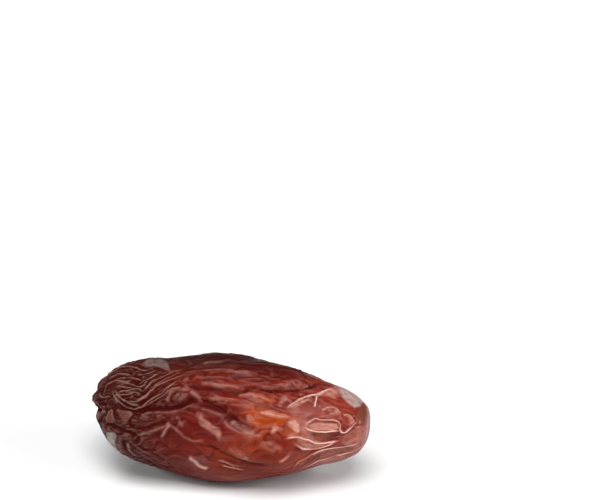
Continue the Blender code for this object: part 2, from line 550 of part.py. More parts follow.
def folded_skin(rings, segments):
    """The whole skin as a grid: the plump body pushed in and out along its own outward direction."""
    grid = plump_body(rings, segments)
    normal = outward(grid)
    places = grid.reshape(-1, 3)
    out = normal.reshape(-1, 3)
    hidden = 1.0 - np.clip(0.85 + 1.2 * (out @ view_axes()[0]), 0.0, 1.0)
    ends = np.clip((np.abs(places[:, 0]) - 19.0) / 5.0, 0.0, 1.0)
    stem_half = np.clip((-places[:, 0] - 8.0) / 8.0, 0.0, 1.0)
    pressed = np.exp(-(places[:, 0] / 12.0) ** 2) * np.clip((-places[:, 2] - 6.5) / 3.0, 0.0, 1.0)
    sizes, count, seed = SWELLS["sizes"], SWELLS["count"], SWELLS["seed"]
    seen_places, pixels = seen_skin()
    folds = [(*fold[:3], to_skin(fold[3], seen_places, pixels)) for fold in SEEN_FOLDS]
    patches = [(*patch[:2], to_skin(patch[2], seen_places, pixels)) for patch in LIFTED_PATCHES]
    relief = net_relief(places, hidden, stem_half, ends)
    relief += fold_relief(places, out, folds + list(far_paths()))
    relief += patch_relief(places, patches)
    relief += 0.6 * leaning_relief(places, **LEANING_PLANES) * (1.0 - 0.7 * ends)
    steps = facet_steps(places, out)
    relief = relief * (1.0 - 0.75 * np.clip(steps / 0.10, 0.0, 1.0)) + steps
    relief += stem_relief(places, hidden)
    relief += fuller_relief(places, seen_places, pixels)
    relief += SWELLS["height"] * ripples(places, sizes, count, seed) * (1.0 - 0.5 * ends)
    # Calmer skin at the very tip, under the tip half, and where the fruit lies on the table
    near_tip = np.clip((places[:, 0] - 11.0) / 4.0, 0.0, 1.0)
    relief *= 1.0 - 0.6 * np.clip((places[:, 0] - 21.0) / 2.5, 0.0, 1.0)
    relief *= 1.0 - 0.75 * near_tip * np.clip((-places[:, 2] - 2.0) / 3.0, 0.0, 1.0)
    relief *= 1.0 - 0.9 * pressed
    return grid + normal * relief.reshape(rings - 1, segments, 1)


def closed_mesh(name, grid):
    """A closed mesh from the grid of rings, each end closed by a fan of triangles round one point."""
    rows, segments = grid.shape[:2]
    poles = np.stack([grid[0].mean(axis=0), grid[-1].mean(axis=0)])
    vertices = np.vstack([grid.reshape(-1, 3), poles]) * MM
    here = np.arange(segments)
    after = (here + 1) % segments
    starts = np.arange(rows - 1)[:, None] * segments
    quads = [starts + here, starts + after, starts + after + segments, starts + here + segments]
    quads = np.stack(quads, axis=2)
    stem = np.stack([np.full(segments, rows * segments), after, here], axis=1)
    last = (rows - 1) * segments
    tip = np.stack([np.full(segments, rows * segments + 1), last + here, last + after], axis=1)
    mesh = bpy.data.meshes.new(name)
    mesh.from_pydata(vertices.tolist(), [], quads.reshape(-1, 4).tolist() + stem.tolist() + tip.tolist())
    mesh.update()
    return mesh


def thinned(mesh):
    """The mesh with its faces collapsed where it is smooth, down to the number kept."""
    helper = bpy.data.objects.new("thinning", mesh)
    bpy.context.collection.objects.link(helper)
    decimate = helper.modifiers.new("thin", "DECIMATE")
    decimate.use_collapse_triangulate = True
    decimate.ratio = KEPT_TRIANGLES / sum(len(face.vertices) - 2 for face in mesh.polygons)
    depsgraph = bpy.context.evaluated_depsgraph_get()
    result = bpy.data.meshes.new_from_object(helper.evaluated_get(depsgraph))
    bpy.data.objects.remove(helper)
    return result


def pressed_flat(mesh):
    """Cuts a thin slice off the underside for the resting spot, and centres the fruit over the origin."""
    body = bmesh.new()
    body.from_mesh(mesh)
    lowest = min(vertex.co.z for vertex in body.verts)
    floor = lowest + PRESSED_DEPTH * MM
    everything = body.verts[:] + body.edges[:] + body.faces[:]
    cut = bmesh.ops.bisect_plane(
        body, geom=everything, plane_co=(0, 0, floor), plane_no=(0, 0, 1), clear_inner=True,
    )
    rim = [item for item in cut["geom_cut"] if isinstance(item, bmesh.types.BMEdge)]
    bmesh.ops.triangle_fill(body, use_beauty=True, use_dissolve=False, edges=rim)
    corners = np.array([vertex.co for vertex in body.verts])
    middle = 0.5 * (corners.min(axis=0) + corners.max(axis=0))
    bmesh.ops.translate(body, verts=body.verts, vec=(-middle[0], -middle[1], -floor))
    bmesh.ops.recalc_face_normals(body, faces=body.faces)
    bmesh.ops.triangulate(body, faces=body.faces)
    body.to_mesh(mesh)
    body.free()


def date_skin():
    """The date's dark red brown skin, with a soft gloss."""
    material = bpy.data.materials.new("date_skin")
    material.use_nodes = True
    shader = material.node_tree.nodes["Principled BSDF"]
    shader.inputs["Base Color"].default_value = (0.16, 0.024, 0.013, 1.0)
    shader.inputs["Roughness"].default_value = 0.35
    shader.inputs["Metallic"].default_value = 0.0
    return material


def build():
    for leftover in list(bpy.data.objects):
        bpy.data.objects.remove(leftover)
    mesh = thinned(closed_mesh("date", folded_skin(RINGS, SEGMENTS)))
    mesh.name = "date"
    pressed_flat(mesh)
    mesh.shade_smooth()
    mesh.materials.clear()
    mesh.materials.append(date_skin())
    date = bpy.data.objects.new("date", mesh)
    bpy.context.collection.objects.link(date)


build()
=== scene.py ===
# %% [markdown]
# # A dried date
#
# A dried date is one fruit whose skin has grown too large for its flesh. As the flesh dries and
# shrinks, the skin stays the same size, so it has to fold. Everything that makes it look like a date
# is in that skin: long creases, thin raised ridges, small blisters, and a gloss that is broad on the
# smooth parts and a bright line on each ridge.
#
# The construction model already has the fruit's size, its main folds and its resting spot. This
# lesson makes the same skin again on a much finer grid, adds the small wrinkles, and then gives it
# its colours, its gloss and its light.

# %% The construction model
import math

import bpy
import numpy as np
from mathutils import Matrix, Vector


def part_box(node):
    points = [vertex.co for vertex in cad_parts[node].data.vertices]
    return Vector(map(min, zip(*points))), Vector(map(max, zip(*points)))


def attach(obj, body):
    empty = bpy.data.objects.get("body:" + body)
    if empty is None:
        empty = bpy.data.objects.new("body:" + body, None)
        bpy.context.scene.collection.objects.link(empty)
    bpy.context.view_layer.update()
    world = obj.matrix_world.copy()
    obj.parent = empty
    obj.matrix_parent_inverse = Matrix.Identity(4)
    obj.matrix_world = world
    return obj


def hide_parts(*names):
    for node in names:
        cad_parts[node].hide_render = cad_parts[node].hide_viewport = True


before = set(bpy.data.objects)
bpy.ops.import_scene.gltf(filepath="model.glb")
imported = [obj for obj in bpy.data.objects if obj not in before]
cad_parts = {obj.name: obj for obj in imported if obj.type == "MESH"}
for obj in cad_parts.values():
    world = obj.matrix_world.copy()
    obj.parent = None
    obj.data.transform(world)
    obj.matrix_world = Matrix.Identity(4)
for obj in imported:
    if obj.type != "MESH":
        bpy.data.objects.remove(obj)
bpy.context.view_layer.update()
MM = 0.001
low_corner, high_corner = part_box("date")
print("the date is", [round((b - a) / MM, 1) for a, b in zip(low_corner, high_corner)], "mm")

# %% [markdown]
# ## The plump body
#
# Without its folds a date is a barrel with one rounder and one blunter end. A turned shape like this
# is a half outline swept round an axis. Two small changes keep it from looking like turned wood: it
# is a little wider than it is high, because it lies on its side, and its middle line bends.
#
# The outline needs only a few points, with a smooth curve through them. Points at equal distances
# along the curve make the grid's cells nearly square everywhere, also at the steep ends.

# %% Smooth curves and even steps
LENGTH = 48.0
WIDTH = 22.9
HEIGHT = 20.9
PRESSED_DEPTH = 0.45

HALF_OUTLINE = [
    (-1.0, 0.0), (-0.988, 0.18), (-0.946, 0.32), (-0.88, 0.49), (-0.805, 0.64), (-0.645, 0.825),
    (-0.375, 0.94), (-0.083, 1.0), (0.133, 0.98), (0.42, 0.86), (0.683, 0.637), (0.813, 0.547),
    (0.933, 0.405), (0.988, 0.236), (1.0, 0.0),
]
MIDDLE_LINE = [
    (-1.0, 2.1), (-0.95, 1.7), (-0.88, 0.8), (-0.80, 0.2), (-0.65, -0.3), (-0.5, -0.35), (0.0, -0.25),
    (0.33, 0.15), (0.67, 0.1), (0.83, 0.0), (0.93, 0.2), (1.0, 0.8),
]


def smooth_curve(points, count):
    """Catmull-Rom curve: between two points, half of 2b + (c-a)t + (2a-5b+4c-d)t^2 + (3b-a-3c+d)t^3."""
    given = np.array(points, float)
    given = np.vstack([2 * given[0] - given[1], given, 2 * given[-1] - given[-2]])
    spans = len(given) - 3
    place = np.linspace(0, spans, count)
    span = np.minimum(place.astype(int), spans - 1)
    t = (place - span)[:, None]
    a, b, c, d = given[span], given[span + 1], given[span + 2], given[span + 3]
    square = (2 * a - 5 * b + 4 * c - d) * t ** 2
    cube = (3 * b - a - 3 * c + d) * t ** 3
    return 0.5 * (2 * b + (c - a) * t + square + cube)


def evenly_spaced(path, count):
    """The same path read off at equal distances: each coordinate as a function of distance travelled."""
    steps = np.linalg.norm(np.diff(path, axis=0), axis=1)
    along = np.concatenate([[0.0], np.cumsum(steps)])
    wanted = np.linspace(0.0, along[-1], count)
    return np.stack([np.interp(wanted, along, path[:, axis]) for axis in range(path.shape[1])], axis=1)


def half_outline(count):
    """The half outline in millimetres, x and radius: shares times half the length and half the height."""
    outline = smooth_curve(HALF_OUTLINE, 1200) * (LENGTH / 2, HEIGHT / 2)
    outline[:, 1] = np.maximum(outline[:, 1], 0.0)
    return evenly_spaced(outline, count)


print("outline points, first and last:", half_outline(9)[[0, -1]].round(1).tolist())

# %% [markdown]
# A place on the body has two parameters: x, along the fruit, and a turn round it, which is zero on
# the near side and a quarter turn on top. The whole grid comes out of one formula at once. Its rings
# stand closer at both ends and its turns closer on the near side, where the finest folds are.

# %% The body as a grid
RINGS = 272
SEGMENTS = 360
OUTLINE_POINTS = 2001
PLAIN_CROWDING = 0.85
END_CROWDING = 0.5
NEAR_CROWDING = 0.4
NEAR_TURN = math.radians(26.5)


def crowded(count, low, high, crowding):
    """count values from low to high that cut the running sum of crowding(value) into equal shares."""
    fine = np.linspace(low, high, 4001)
    running = np.cumsum(crowding(fine))
    share = (running - running[0]) / (running[-1] - running[0])
    return np.interp(np.linspace(0.0, 1.0, count), share, fine)


def on_body(x, radius, turn):
    """y = -(width/height) r cos(turn); z = r sin(turn) + the middle line's lift at x."""
    shares, lifts = np.array(MIDDLE_LINE).T
    y = -WIDTH / HEIGHT * radius * np.cos(turn)
    z = radius * np.sin(turn) + np.interp(x, shares * LENGTH / 2, lifts)
    return np.stack([x, y, z], axis=-1)


def towards_ends(number):
    """Crowding of the rings = 0.85 + 0.5 u^2, with u running from -1 at the stem end to 1 at the tip."""
    half = (OUTLINE_POINTS - 1) / 2
    return PLAIN_CROWDING + END_CROWDING * (number / half - 1.0) ** 2


def towards_near_side(turn):
    """Crowding of the turns = 1 + 0.4 cos(turn - the near side's turn)."""
    return 1.0 + NEAR_CROWDING * np.cos(turn - NEAR_TURN)


def plump_body(rings, segments):
    """Rings at crowded steps along the outline, each with places at crowded turns."""
    outline = half_outline(OUTLINE_POINTS)
    number = crowded(rings + 1, 0.0, OUTLINE_POINTS - 1.0, towards_ends)[1:-1]
    x, radius = (np.interp(number, np.arange(OUTLINE_POINTS), column) for column in outline.T)
    turn = crowded(segments + 1, 0.0, 2 * math.pi, towards_near_side)[:-1]
    return on_body(np.repeat(x[:, None], segments, axis=1), radius[:, None], turn[None, :])


def outward(grid):
    """Unit cross product of the step along and the step around, turned to point out of the fruit."""
    along = np.gradient(grid, axis=0)
    around = np.roll(grid, -1, axis=1) - np.roll(grid, 1, axis=1)
    normal = np.cross(along, around)
    normal /= np.linalg.norm(normal, axis=2, keepdims=True)
    middle = grid.shape[0] // 2
    facing = (normal[middle] * grid[middle]).sum()
    return normal if facing > 0 else -normal


body_grid = plump_body(RINGS, SEGMENTS)
body_out = outward(body_grid)
places = body_grid.reshape(-1, 3)
place_x, place_y, place_z = places.T
out = body_out.reshape(-1, 3)
print("grid of", body_grid.shape[0], "rings with", body_grid.shape[1], "places each")

# %% [markdown]
# ## The folds that the eye follows
#
# A real fruit's folds are not random: the eye knows a double fold in the shape of a V, a long crease,
# a closed blister. Those are drawn one by one. The easiest place to draw them is a picture of the
# fruit, so each fold is a short list of picture points, and a formula carries them to the skin: of
# all the skin that faces the eye, the place that shows nearest to the point.

# %% The picture and the skin
VIEW_TURN = math.radians(10.0)
VIEW_TILT = math.radians(26.5)
VIEW_DISTANCE = 287.0
PIXELS_PER_MM = 5.8
PICTURE_MIDDLE = (231.5, 418.0)


def axes_of_view(turn, tilt):
    """Back points from the fruit to the eye, right is level, and up is their cross product."""
    back = np.array([math.sin(turn) * math.cos(tilt), -math.cos(turn) * math.cos(tilt), math.sin(tilt)])
    right = np.array([math.cos(turn), math.sin(turn), 0.0])
    return back, right, np.cross(back, right)


def in_picture(spots):
    """Pixels = the picture's middle + scale times (right, -up); the scale grows towards the eye."""
    back, right, up = axes_of_view(VIEW_TURN, VIEW_TILT)
    scale = PIXELS_PER_MM * VIEW_DISTANCE / (VIEW_DISTANCE - spots @ back)
    across = PICTURE_MIDDLE[0] + scale * (spots @ right)
    down = PICTURE_MIDDLE[1] - scale * (spots @ up)
    return np.stack([across, down], axis=-1)


def seen_skin():
    """The part of a middling grid that faces the eye, and where each place of it shows."""
    grid = plump_body(200, 300)
    normal = outward(grid).reshape(-1, 3)
    spots = grid.reshape(-1, 3)
    eye = axes_of_view(VIEW_TURN, VIEW_TILT)[0] * VIEW_DISTANCE
    spots = spots[((eye - spots) * normal).sum(axis=1) > 0]
    return spots, in_picture(spots)


skin_spots, skin_pixels = seen_skin()


def table(text):
    """The rows of a text, each cut into words at its blanks."""
    return [row.split() for row in text.strip().splitlines()]


def hundredths(*words):
    """Numbers given in hundredths."""
    return [int(word) / 100 for word in words]


def drawn(words):
    """Rows of numbers from words such as 102,387."""
    return np.array([word.split(",") for word in words], float)


def to_skin(words):
    """Drawn points to a smooth path on the skin: nearest showing place, then each point eased."""
    curve = smooth_curve(drawn(words), 6 * len(words))
    pixels_long = np.linalg.norm(np.diff(curve, axis=0), axis=1).sum()
    curve = evenly_spaced(curve, max(8, int(pixels_long / 2)))
    gaps = ((skin_pixels[None, :, :] - curve[:, None, :]) ** 2).sum(axis=2)
    path = skin_spots[gaps.argmin(axis=1)]
    path[1:-1] = 0.25 * path[:-2] + 0.5 * path[1:-1] + 0.25 * path[2:]
    return path


print("skin places that face the eye:", len(skin_spots))

# %% [markdown]
# A fold is one of four kinds. A ridge is a pinch of skin standing up, with a slight hollow at its
# foot. A roll leans over: it is steep on the left of its line and slow on the right. A groove is skin
# drawn in. A lap is one sheet of skin stepping down to the next, as at the rim of a blister. Each
# row below is one fold: its kind, its height and half width in hundredths of a millimetre, and the
# points of its line, each as how far across and how far down the picture, in pixels.

# %% The folds of the near side
STEM_END_PLEATS = """
ridge 20 16 102,387 110,381 120,375 130,372 143,372 151,371
ridge 20 16 104,384 112,377 120,371 128,366 135,361
ridge 22 15 112,383 120,379 127,378 134,378
ridge 14 15 115,385 121,383 128,384 133,382
ridge 14 15 116,389 123,388 130,389 136,388
ridge 14 15 139,377 145,375 151,373 156,370
ridge 17 15 140,385 146,381 152,377 158,373
ridge 26 16 146,390 150,386 153,382 157,379
ridge 14 16 118,395 124,392 131,391 138,389 144,392
lap 32 40 145,369 150,365 156,361 161,361
ridge 14 19 146,369 155,367 163,368 171,370
"""
V_FOLD = """
ridge 23 18 117,391 121,397 127,402 134,405 141,406
ridge 23 18 114,393 119,401 126,406 134,409 142,408 148,404 155,399 162,395 169,390 173,386 \
181,385
ridge 16 15 146,407 154,402 162,398 169,393 175,390 183,388
ridge 16 19 136,400 143,399 149,395 155,389 161,385 168,381 176,377 186,374
ridge 13 16 150,391 156,386 163,381 172,376 180,372
lap 24 45 113,393 116,399 118,404
lap 16 35 171,403 171,397 176,391 184,391 190,393
"""
LONG_CREASES = """
groove 62 90 106,404 115,405 125,407 136,410 150,410 163,409 176,407 186,404 193,401 200,399 \
208,401 217,405 226,411 236,418 247,424 258,429
roll 30 45 140,416 150,413 161,412 172,412 181,410 188,407 194,404 200,404
groove 40 48 188,378 191,384 196,388 206,389 218,390 230,391 241,392 247,390 253,387 260,387 \
275,389 290,389 304,389 316,387 330,388
roll 20 40 238,388 228,387 215,386 203,384
roll 20 40 305,386 298,382 291,384 281,386 270,387 261,385
groove 22 35 195,381 210,380 225,380 242,380 258,381 275,380
ridge 12 35 180,371 200,372 220,372 240,374 258,375
ridge 18 24 225,362 250,366 270,368 290,371 304,373 314,377 324,382
"""
MIDDLE_FOLDS = """
roll 22 55 202,408 212,410 221,413 228,416
ridge 17 95 200,412 204,419 210,426 217,431 223,437 230,443
roll 20 55 226,420 233,427 241,432 250,436 260,438
roll 15 50 240,415 247,421 256,427
roll 15 55 262,441 270,446 278,448
roll 16 50 230,446 240,452 250,458
ridge 17 70 265,411 273,413 282,416 291,417
groove 32 45 205,446 218,450 232,456 250,462 272,462
"""
TIP_END_FOLDS = """
ridge 27 19 309,428 309,424 313,421 318,418 322,420 332,420 339,421 342,424 342,430 346,433 \
351,430 355,426 358,423
ridge 27 19 308,426 310,429 317,431 326,432 335,431 342,431
ridge 27 19 290,407 296,402 303,398 311,396 319,395 326,393 333,391
ridge 21 17 318,395 318,401 317,407
ridge 22 20 345,390 351,393 357,397 363,402
ridge 23 20 286,438 292,437 300,436 306,438 313,440 320,443 330,443 343,441
ridge 23 24 295,441 299,444 306,447 314,448 323,448 331,446 339,442
groove 40 60 311,433 320,436 332,437 344,435
ridge 25 20 295,467 297,463 301,459 308,456 318,452 330,450 345,449 355,446 363,442
ridge 21 20 302,468 311,465 321,461 332,459 345,456 357,451 366,444
groove 40 50 304,464 315,459 330,455 346,453 358,448
groove 32 50 343,440 352,435 358,430 368,425
"""
LOWER_FOLDS = """
groove 48 45 104,420 110,423 118,426 127,430 136,433 145,438
groove 32 45 130,415 132,422 137,427 150,427 163,423 173,419
roll 24 50 140,434 150,432 160,429 168,426 171,420
roll 26 45 172,425 180,431 186,438 195,442 206,441
groove 32 45 129,436 129,446 135,454 144,460 152,466
lap 28 50 108,431 117,431 119,440 117,449
ridge 20 35 222,461 232,464 243,467
"""
MINOR_FOLDS = """
ridge 17 16 116,372 124,368 131,364
ridge 20 16 142,389 145,386 148,381
ridge 18 18 101,394 103,398 108,397 112,396
ridge 14 16 152,384 160,378 170,373 180,369
ridge 13 15 104,390 113,386 124,381 137,380 146,383
ridge 14 15 121,388 127,385 135,386 141,388 149,385
ridge 14 15 112,398 120,396 129,395 137,393 143,395
ridge 13 15 107,379 115,373 124,370 133,368
ridge 15 16 124,400 131,402 139,402 146,399 152,394
ridge 12 15 157,396 164,391 171,386 180,381
ridge 16 18 107,423 109,416 112,409 115,416 119,422
ridge 14 18 118,410 127,411 134,413 132,418 129,422
ridge 18 20 92,398 95,402 94,408
ridge 18 20 97,407 103,410 106,415 103,420
ridge 14 18 298,403 304,401 311,399
roll 22 30 291,423 295,428 301,432
ridge 15 22 325,410 331,407 338,408 343,412
ridge 15 22 346,414 352,415 357,421
ridge 20 28 94,414 98,413 101,417
ridge 20 35 172,424 167,431 163,438
ridge 18 40 133,440 133,448 140,455
groove 20 40 142,444 150,449 158,454 166,462
groove 15 30 175,366 195,368 215,368 240,370 262,372
groove 15 30 230,378 250,378 270,378 285,377
ridge 16 35 192,392 197,395 202,398
"""
# Short low folds whose nearly white crests are painted glints.
PAINTED_GLINT_CRESTS = """
roll 38 40 190,458 196,463 203,468 210,470
ridge 16 30 281,458 287,454 292,451
ridge 16 26 224,467 234,469 246,471
ridge 16 24 220,462 228,463 238,467
"""
STEM_KNOBS = """
groove 56 45 96,391 101,391 106,392
groove 56 45 100,422 104,418 106,412 104,404 99,401 93,402
groove 40 40 93,410 98,411 103,409
"""
print("the V fold is drawn with", len(table(V_FOLD)), "lines")

# %% [markdown]
# Dried skin lifts off the flesh here and there, with air under it. Such a place is a flat-topped patch with a
# small step round it, and it is paler than the skin that still clings; that paleness is partly the lifted
# skin's own tone and partly a painted sheen, where light would gleam on the patch. Each row gives the patch's
# height, its half width and how pale it is, all in hundredths, and the line through its middle, which starts
# at the palest end.

# %% The lifted patches
LIFTED_PATCHES = """
9 60 50 243,394 252,395 262,396 274,399
8 38 50 284,404 286,399 290,394
10 50 75 266,413 274,413 283,416 291,416
8 45 50 251,416 254,421 261,426
11 50 60 236,422 243,427 251,432 261,436
11 60 60 222,438 219,432 212,428 206,422 201,415
8 42 60 268,441 275,443 282,446
8 30 50 284,457 288,453 292,450
8 30 55 250,457 244,452 238,447
11 35 80 276,431 279,428 283,429
7 80 35 213,398 220,398 226,400
7 35 45 194,393 198,396 202,400
11 85 35 177,398 182,396 187,396
6 60 30 187,378 189,384 191,389
7 30 50 180,418 182,422 184,426
7 50 60 116,398 119,402 120,396
7 35 60 122,384 128,384 134,385
7 40 50 129,392 133,394 136,392
8 60 80 96,402 96,404 96,406
6 45 35 124,436 125,442 126,449
8 42 90 295,405 303,401 313,398
7 50 70 329,394 334,393 339,392
6 80 45 350,446 357,441 365,436
7 40 60 318,454 330,453 345,452
6 30 50 316,462 330,461 345,458
7 40 50 326,411 331,409 334,413
7 35 60 336,413 341,413 343,418
7 40 55 348,415 352,418 353,424
7 40 50 300,439 310,443 322,446 334,444
3 50 35 205,385 216,385 228,386 238,387
3 45 35 280,386 290,385 300,386 306,388
6 40 45 206,363 218,362 230,361
6 35 30 236,374 246,375 258,376
"""
print(len(table(LIFTED_PATCHES)), "lifted patches")

# %% [markdown]
# A pinched crest turns pale too, and the light would also lay a bright line along it, so a crest's paleness
# is partly paler skin and partly a painted highlight. Each group of folds says how pale its crests are: the
# blisters at the tip are nearly cream, the folds of the middle barely lighter than the skin round them.

# %% How pale the crests are
PALE_CRESTS = [
    (STEM_END_PLEATS, 0.50),
    (V_FOLD, 0.32),
    (LONG_CREASES, 0.12),
    (MIDDLE_FOLDS, 0.15),
    (TIP_END_FOLDS, 1.00),
    (LOWER_FOLDS, 0.15),
    (MINOR_FOLDS, 0.34),
    (PAINTED_GLINT_CRESTS, 0.95),
    (STEM_KNOBS, 0.20),
]


def near_folds():
    """Each drawn fold as kind, height, half width, paleness and its path on the skin."""
    for group, pale in PALE_CRESTS:
        for kind, height, half_width, *line in table(group):
            yield kind, *hundredths(height, half_width), pale, to_skin(line)


drawn_folds = list(near_folds())
print(len(drawn_folds), "folds drawn on the near side")

# %% [markdown]
# The far side isn't drawn by anyone, but it has folds all the same. Each one starts at a random place
# and walks along the fruit a millimetre at a time, while its heading drifts a little. A fixed seed
# makes every run draw the same folds.

# %% The folds of the far side
FAR_FOLDS = 40
FAR_SEED = 17
FAR_TURNS = (math.radians(138.0), math.radians(282.0))
FAR_REACH = (-18.0, 13.0)
FAR_STEPS = (6, 17)
FAR_PALE = 0.3


def far_folds():
    """x = start + sum of cos(heading); turn = start + sum of sin(heading) / radius."""
    random = np.random.default_rng(FAR_SEED)
    outline = half_outline(400)
    for number in range(FAR_FOLDS):
        steps = int(random.integers(*FAR_STEPS))
        heading = random.normal(0.0, 0.12) + np.cumsum(random.normal(0.0, 0.10, steps))
        x = random.uniform(*FAR_REACH) + np.cumsum(np.cos(heading))
        x = np.clip(x, -22.0, 22.0)
        radius = np.interp(x, outline[:, 0], outline[:, 1])
        turn = random.uniform(*FAR_TURNS) + np.cumsum(np.sin(heading)) / np.maximum(radius, 3.0)
        turn = np.clip(turn, *FAR_TURNS)
        kind = ("ridge", "groove", "ridge", "lap")[number % 4]
        height = random.uniform(0.20, 0.45)
        half_width = random.uniform(0.32, 0.6)
        yield kind, height, half_width, FAR_PALE, on_body(x, radius, turn)


all_folds = drawn_folds + list(far_folds())
print(len(all_folds), "folds in all")

# %% [markdown]
# To raise a fold, every place of the skin needs its distance to the fold's line. That is the distance
# to the nearest point of the nearest step of the path, a formula for whole arrays. Only the places in
# a box round the fold are asked, which keeps it quick.

# %% Distance to a fold
def near_path(path, reach):
    """Numbers of the places inside the path's box, grown by the reach on every side."""
    inside = (places > path.min(axis=0) - reach) & (places < path.max(axis=0) + reach)
    return np.nonzero(inside.all(axis=1))[0]


def nearest_on_path(spots, path):
    """Project each spot on each step, clamp the share to 0..1, and keep the step that is nearest."""
    starts = path[:-1]
    steps = path[1:] - starts
    squares = (steps ** 2).sum(axis=1) + 1e-12
    offsets = spots[:, None, :] - starts[None, :, :]
    share = np.clip((offsets * steps).sum(axis=2) / squares, 0.0, 1.0)
    offsets = offsets - share[:, :, None] * steps
    distances = (offsets ** 2).sum(axis=2)
    nearest = distances.argmin(axis=1)
    row = np.arange(len(spots))
    lengths = np.sqrt(squares)
    travelled = np.concatenate([[0.0], np.cumsum(lengths)])
    along = (travelled[nearest] + share[row, nearest] * lengths[nearest]) / travelled[-1]
    return np.sqrt(distances[row, nearest]), along, steps[nearest], offsets[row, nearest]


print("places near the first fold:", len(near_path(drawn_folds[0][-1], 1.0)))

# %% [markdown]
# The distance decides how high the skin stands beside a fold's line, by a profile for each kind. For
# a roll and a lap the side counts too. At both ends of its line a fold sinks back into the skin.

# %% The profile of a fold
PEAKS = {"ridge": (1.6, 0.06), "roll": (1.4, 0.1), "groove": (1.2, 0.2)}
ROLL_SIDES = (0.6, 1.8)
FOOT_DEPTH, FOOT_PLACE, FOOT_WIDTH = 0.22, 2.4, 1.2
LAP_STEP, LAP_FADE = 0.6, 3.0


def peak(kind, distance, wide):
    """exp(-a (sqrt((distance / wide)^2 + b) - sqrt(b))): a sharp peak whose very tip is soft."""
    sharpness, softness = PEAKS[kind]
    return np.exp(-sharpness * (np.sqrt((distance / wide) ** 2 + softness) - math.sqrt(softness)))


def fold_profile(kind, distance, side, half_width):
    """Ridge: a peak less a hollow at its foot; roll: a peak, steep on the left of its line and slow
    on the right; groove: a peak, sunk; lap: a smooth step that changes sign across the line and dies
    away on both sides."""
    if kind == "ridge":
        foot = (distance - FOOT_PLACE * half_width) / (FOOT_WIDTH * half_width)
        return peak(kind, distance, half_width) - FOOT_DEPTH * np.exp(-foot ** 2)
    if kind == "roll":
        return peak(kind, distance, half_width * np.where(side > 0, *ROLL_SIDES))
    if kind == "groove":
        return -peak(kind, distance, half_width)
    return side * np.tanh(distance / (LAP_STEP * half_width)) * np.exp(-distance / (LAP_FADE * half_width))


print("a ridge at its line and half a width away:", peak("ridge", np.array([0.0, 0.5]), 1.0).round(2))

# %% Raising the folds
END_SHARE, END_START = 0.18, 0.15
PALE_WIDTH, DEEP_WIDTH = 0.55, 1.6


def level_ended(share):
    """3 s^2 - 2 s^3: still a step from 0 to 1, but level where it starts and where it ends."""
    return share * share * (3.0 - 2.0 * share)


def raise_folds(folds):
    """Sum of height times profile times an ease at both ends, and two masks: pale crests, partly painted
    highlight, and grooves, for painted shade.
    """
    relief, crest, deep = np.zeros((3, len(places)))
    for kind, height, half_width, pale, path in folds:
        near = near_path(path, 4.5 * half_width + 0.6)
        distance, along, step, offset = nearest_on_path(places[near], path)
        side = np.sign((np.cross(step, offset) * out[near]).sum(axis=1))
        to_end = np.minimum(along, 1.0 - along)
        ends = level_ended(np.clip(to_end / END_SHARE + END_START, 0.0, 1.0))
        relief[near] += height * ends * fold_profile(kind, distance, side, half_width)
        if kind == "groove":
            wide = ends * height * np.exp(-((distance / (DEEP_WIDTH * half_width)) ** 2))
            deep[near] = np.maximum(deep[near], wide)
        else:
            line = ends * np.exp(-((distance / (PALE_WIDTH * half_width)) ** 2))
            crest[near] = np.maximum(crest[near], pale * line)
    return relief, crest, deep


fold_relief, crest_mask, deep_mask = raise_folds(all_folds)
print("folds reach from", fold_relief.min().round(2), "to", fold_relief.max().round(2), "mm")

# %% [markdown]
# Nothing on a fruit has a ruler's edge. Uneven waves give the patches their ragged outlines, and they
# will bend the wrinkles and mottle the colours too: a few plane waves in random directions, added up.

# %% Uneven waves
def ripples(spots, sizes, count, seed):
    """The sum of count plane waves cos(2 pi k.p + start) in seeded directions, scaled to unit strength."""
    random = np.random.default_rng(seed)
    directions = random.normal(size=(count, 3))
    directions /= np.linalg.norm(directions, axis=1)[:, None]
    directions *= random.uniform(0.6, 1.4, size=(count, 1))
    starts = random.uniform(0, 2 * math.pi, count)
    scaled = spots / np.array(sizes)
    return np.cos(2 * math.pi * scaled @ directions.T + starts).sum(axis=1) * math.sqrt(2 / count)


print("a wave at the fruit's middle:", ripples(np.zeros((1, 3)), (9.0, 6.0, 6.0), 16, 1).round(2))

# %% [markdown]
# A lifted patch has a flat top with a short slope round it. It grows slimmer towards both ends of its
# line, the waves make its rim ragged, and its paleness fades along the line.

# %% Raising the patches
PATCH_EDGE = 0.34
PATCH_SLIM = 0.45
PATCH_ENDS = (0.08, 0.92)
PATCH_FADE = 0.4
RAGGED = {"sizes": (3.0, 1.6, 1.6), "count": 18, "seed": 71}


def raise_patches(patches):
    """height times a flat top 1 that falls to 0 across the edge at the half width, and a pale mask, partly
    painted sheen.
    """
    relief, lifted = np.zeros((2, len(places)))
    ragged = 1.0 + 0.30 * ripples(places, **RAGGED)
    for height, half_width, pale, *line in table(patches):
        height, half_width, pale = hundredths(height, half_width, pale)
        path = to_skin(line)
        near = near_path(path, half_width + 2 * PATCH_EDGE)
        distance, along = nearest_on_path(places[near], path)[:2]
        slim = PATCH_SLIM + (1.0 - PATCH_SLIM) * np.sin(math.pi * np.clip(along, *PATCH_ENDS))
        to_rim = half_width * slim * ragged[near] - distance
        flat_top = level_ended(np.clip(0.5 + to_rim / (2 * PATCH_EDGE), 0.0, 1.0))
        relief[near] = np.maximum(relief[near], height * flat_top)
        lifted[near] = np.maximum(lifted[near], pale * flat_top * (1.0 - PATCH_FADE * along))
    return relief, lifted


patch_relief, lifted_pale_and_sheen = raise_patches(LIFTED_PATCHES)
print("patches cover", round(100 * float((lifted_pale_and_sheen > 0.2).mean()), 1), "percent of the skin's places")

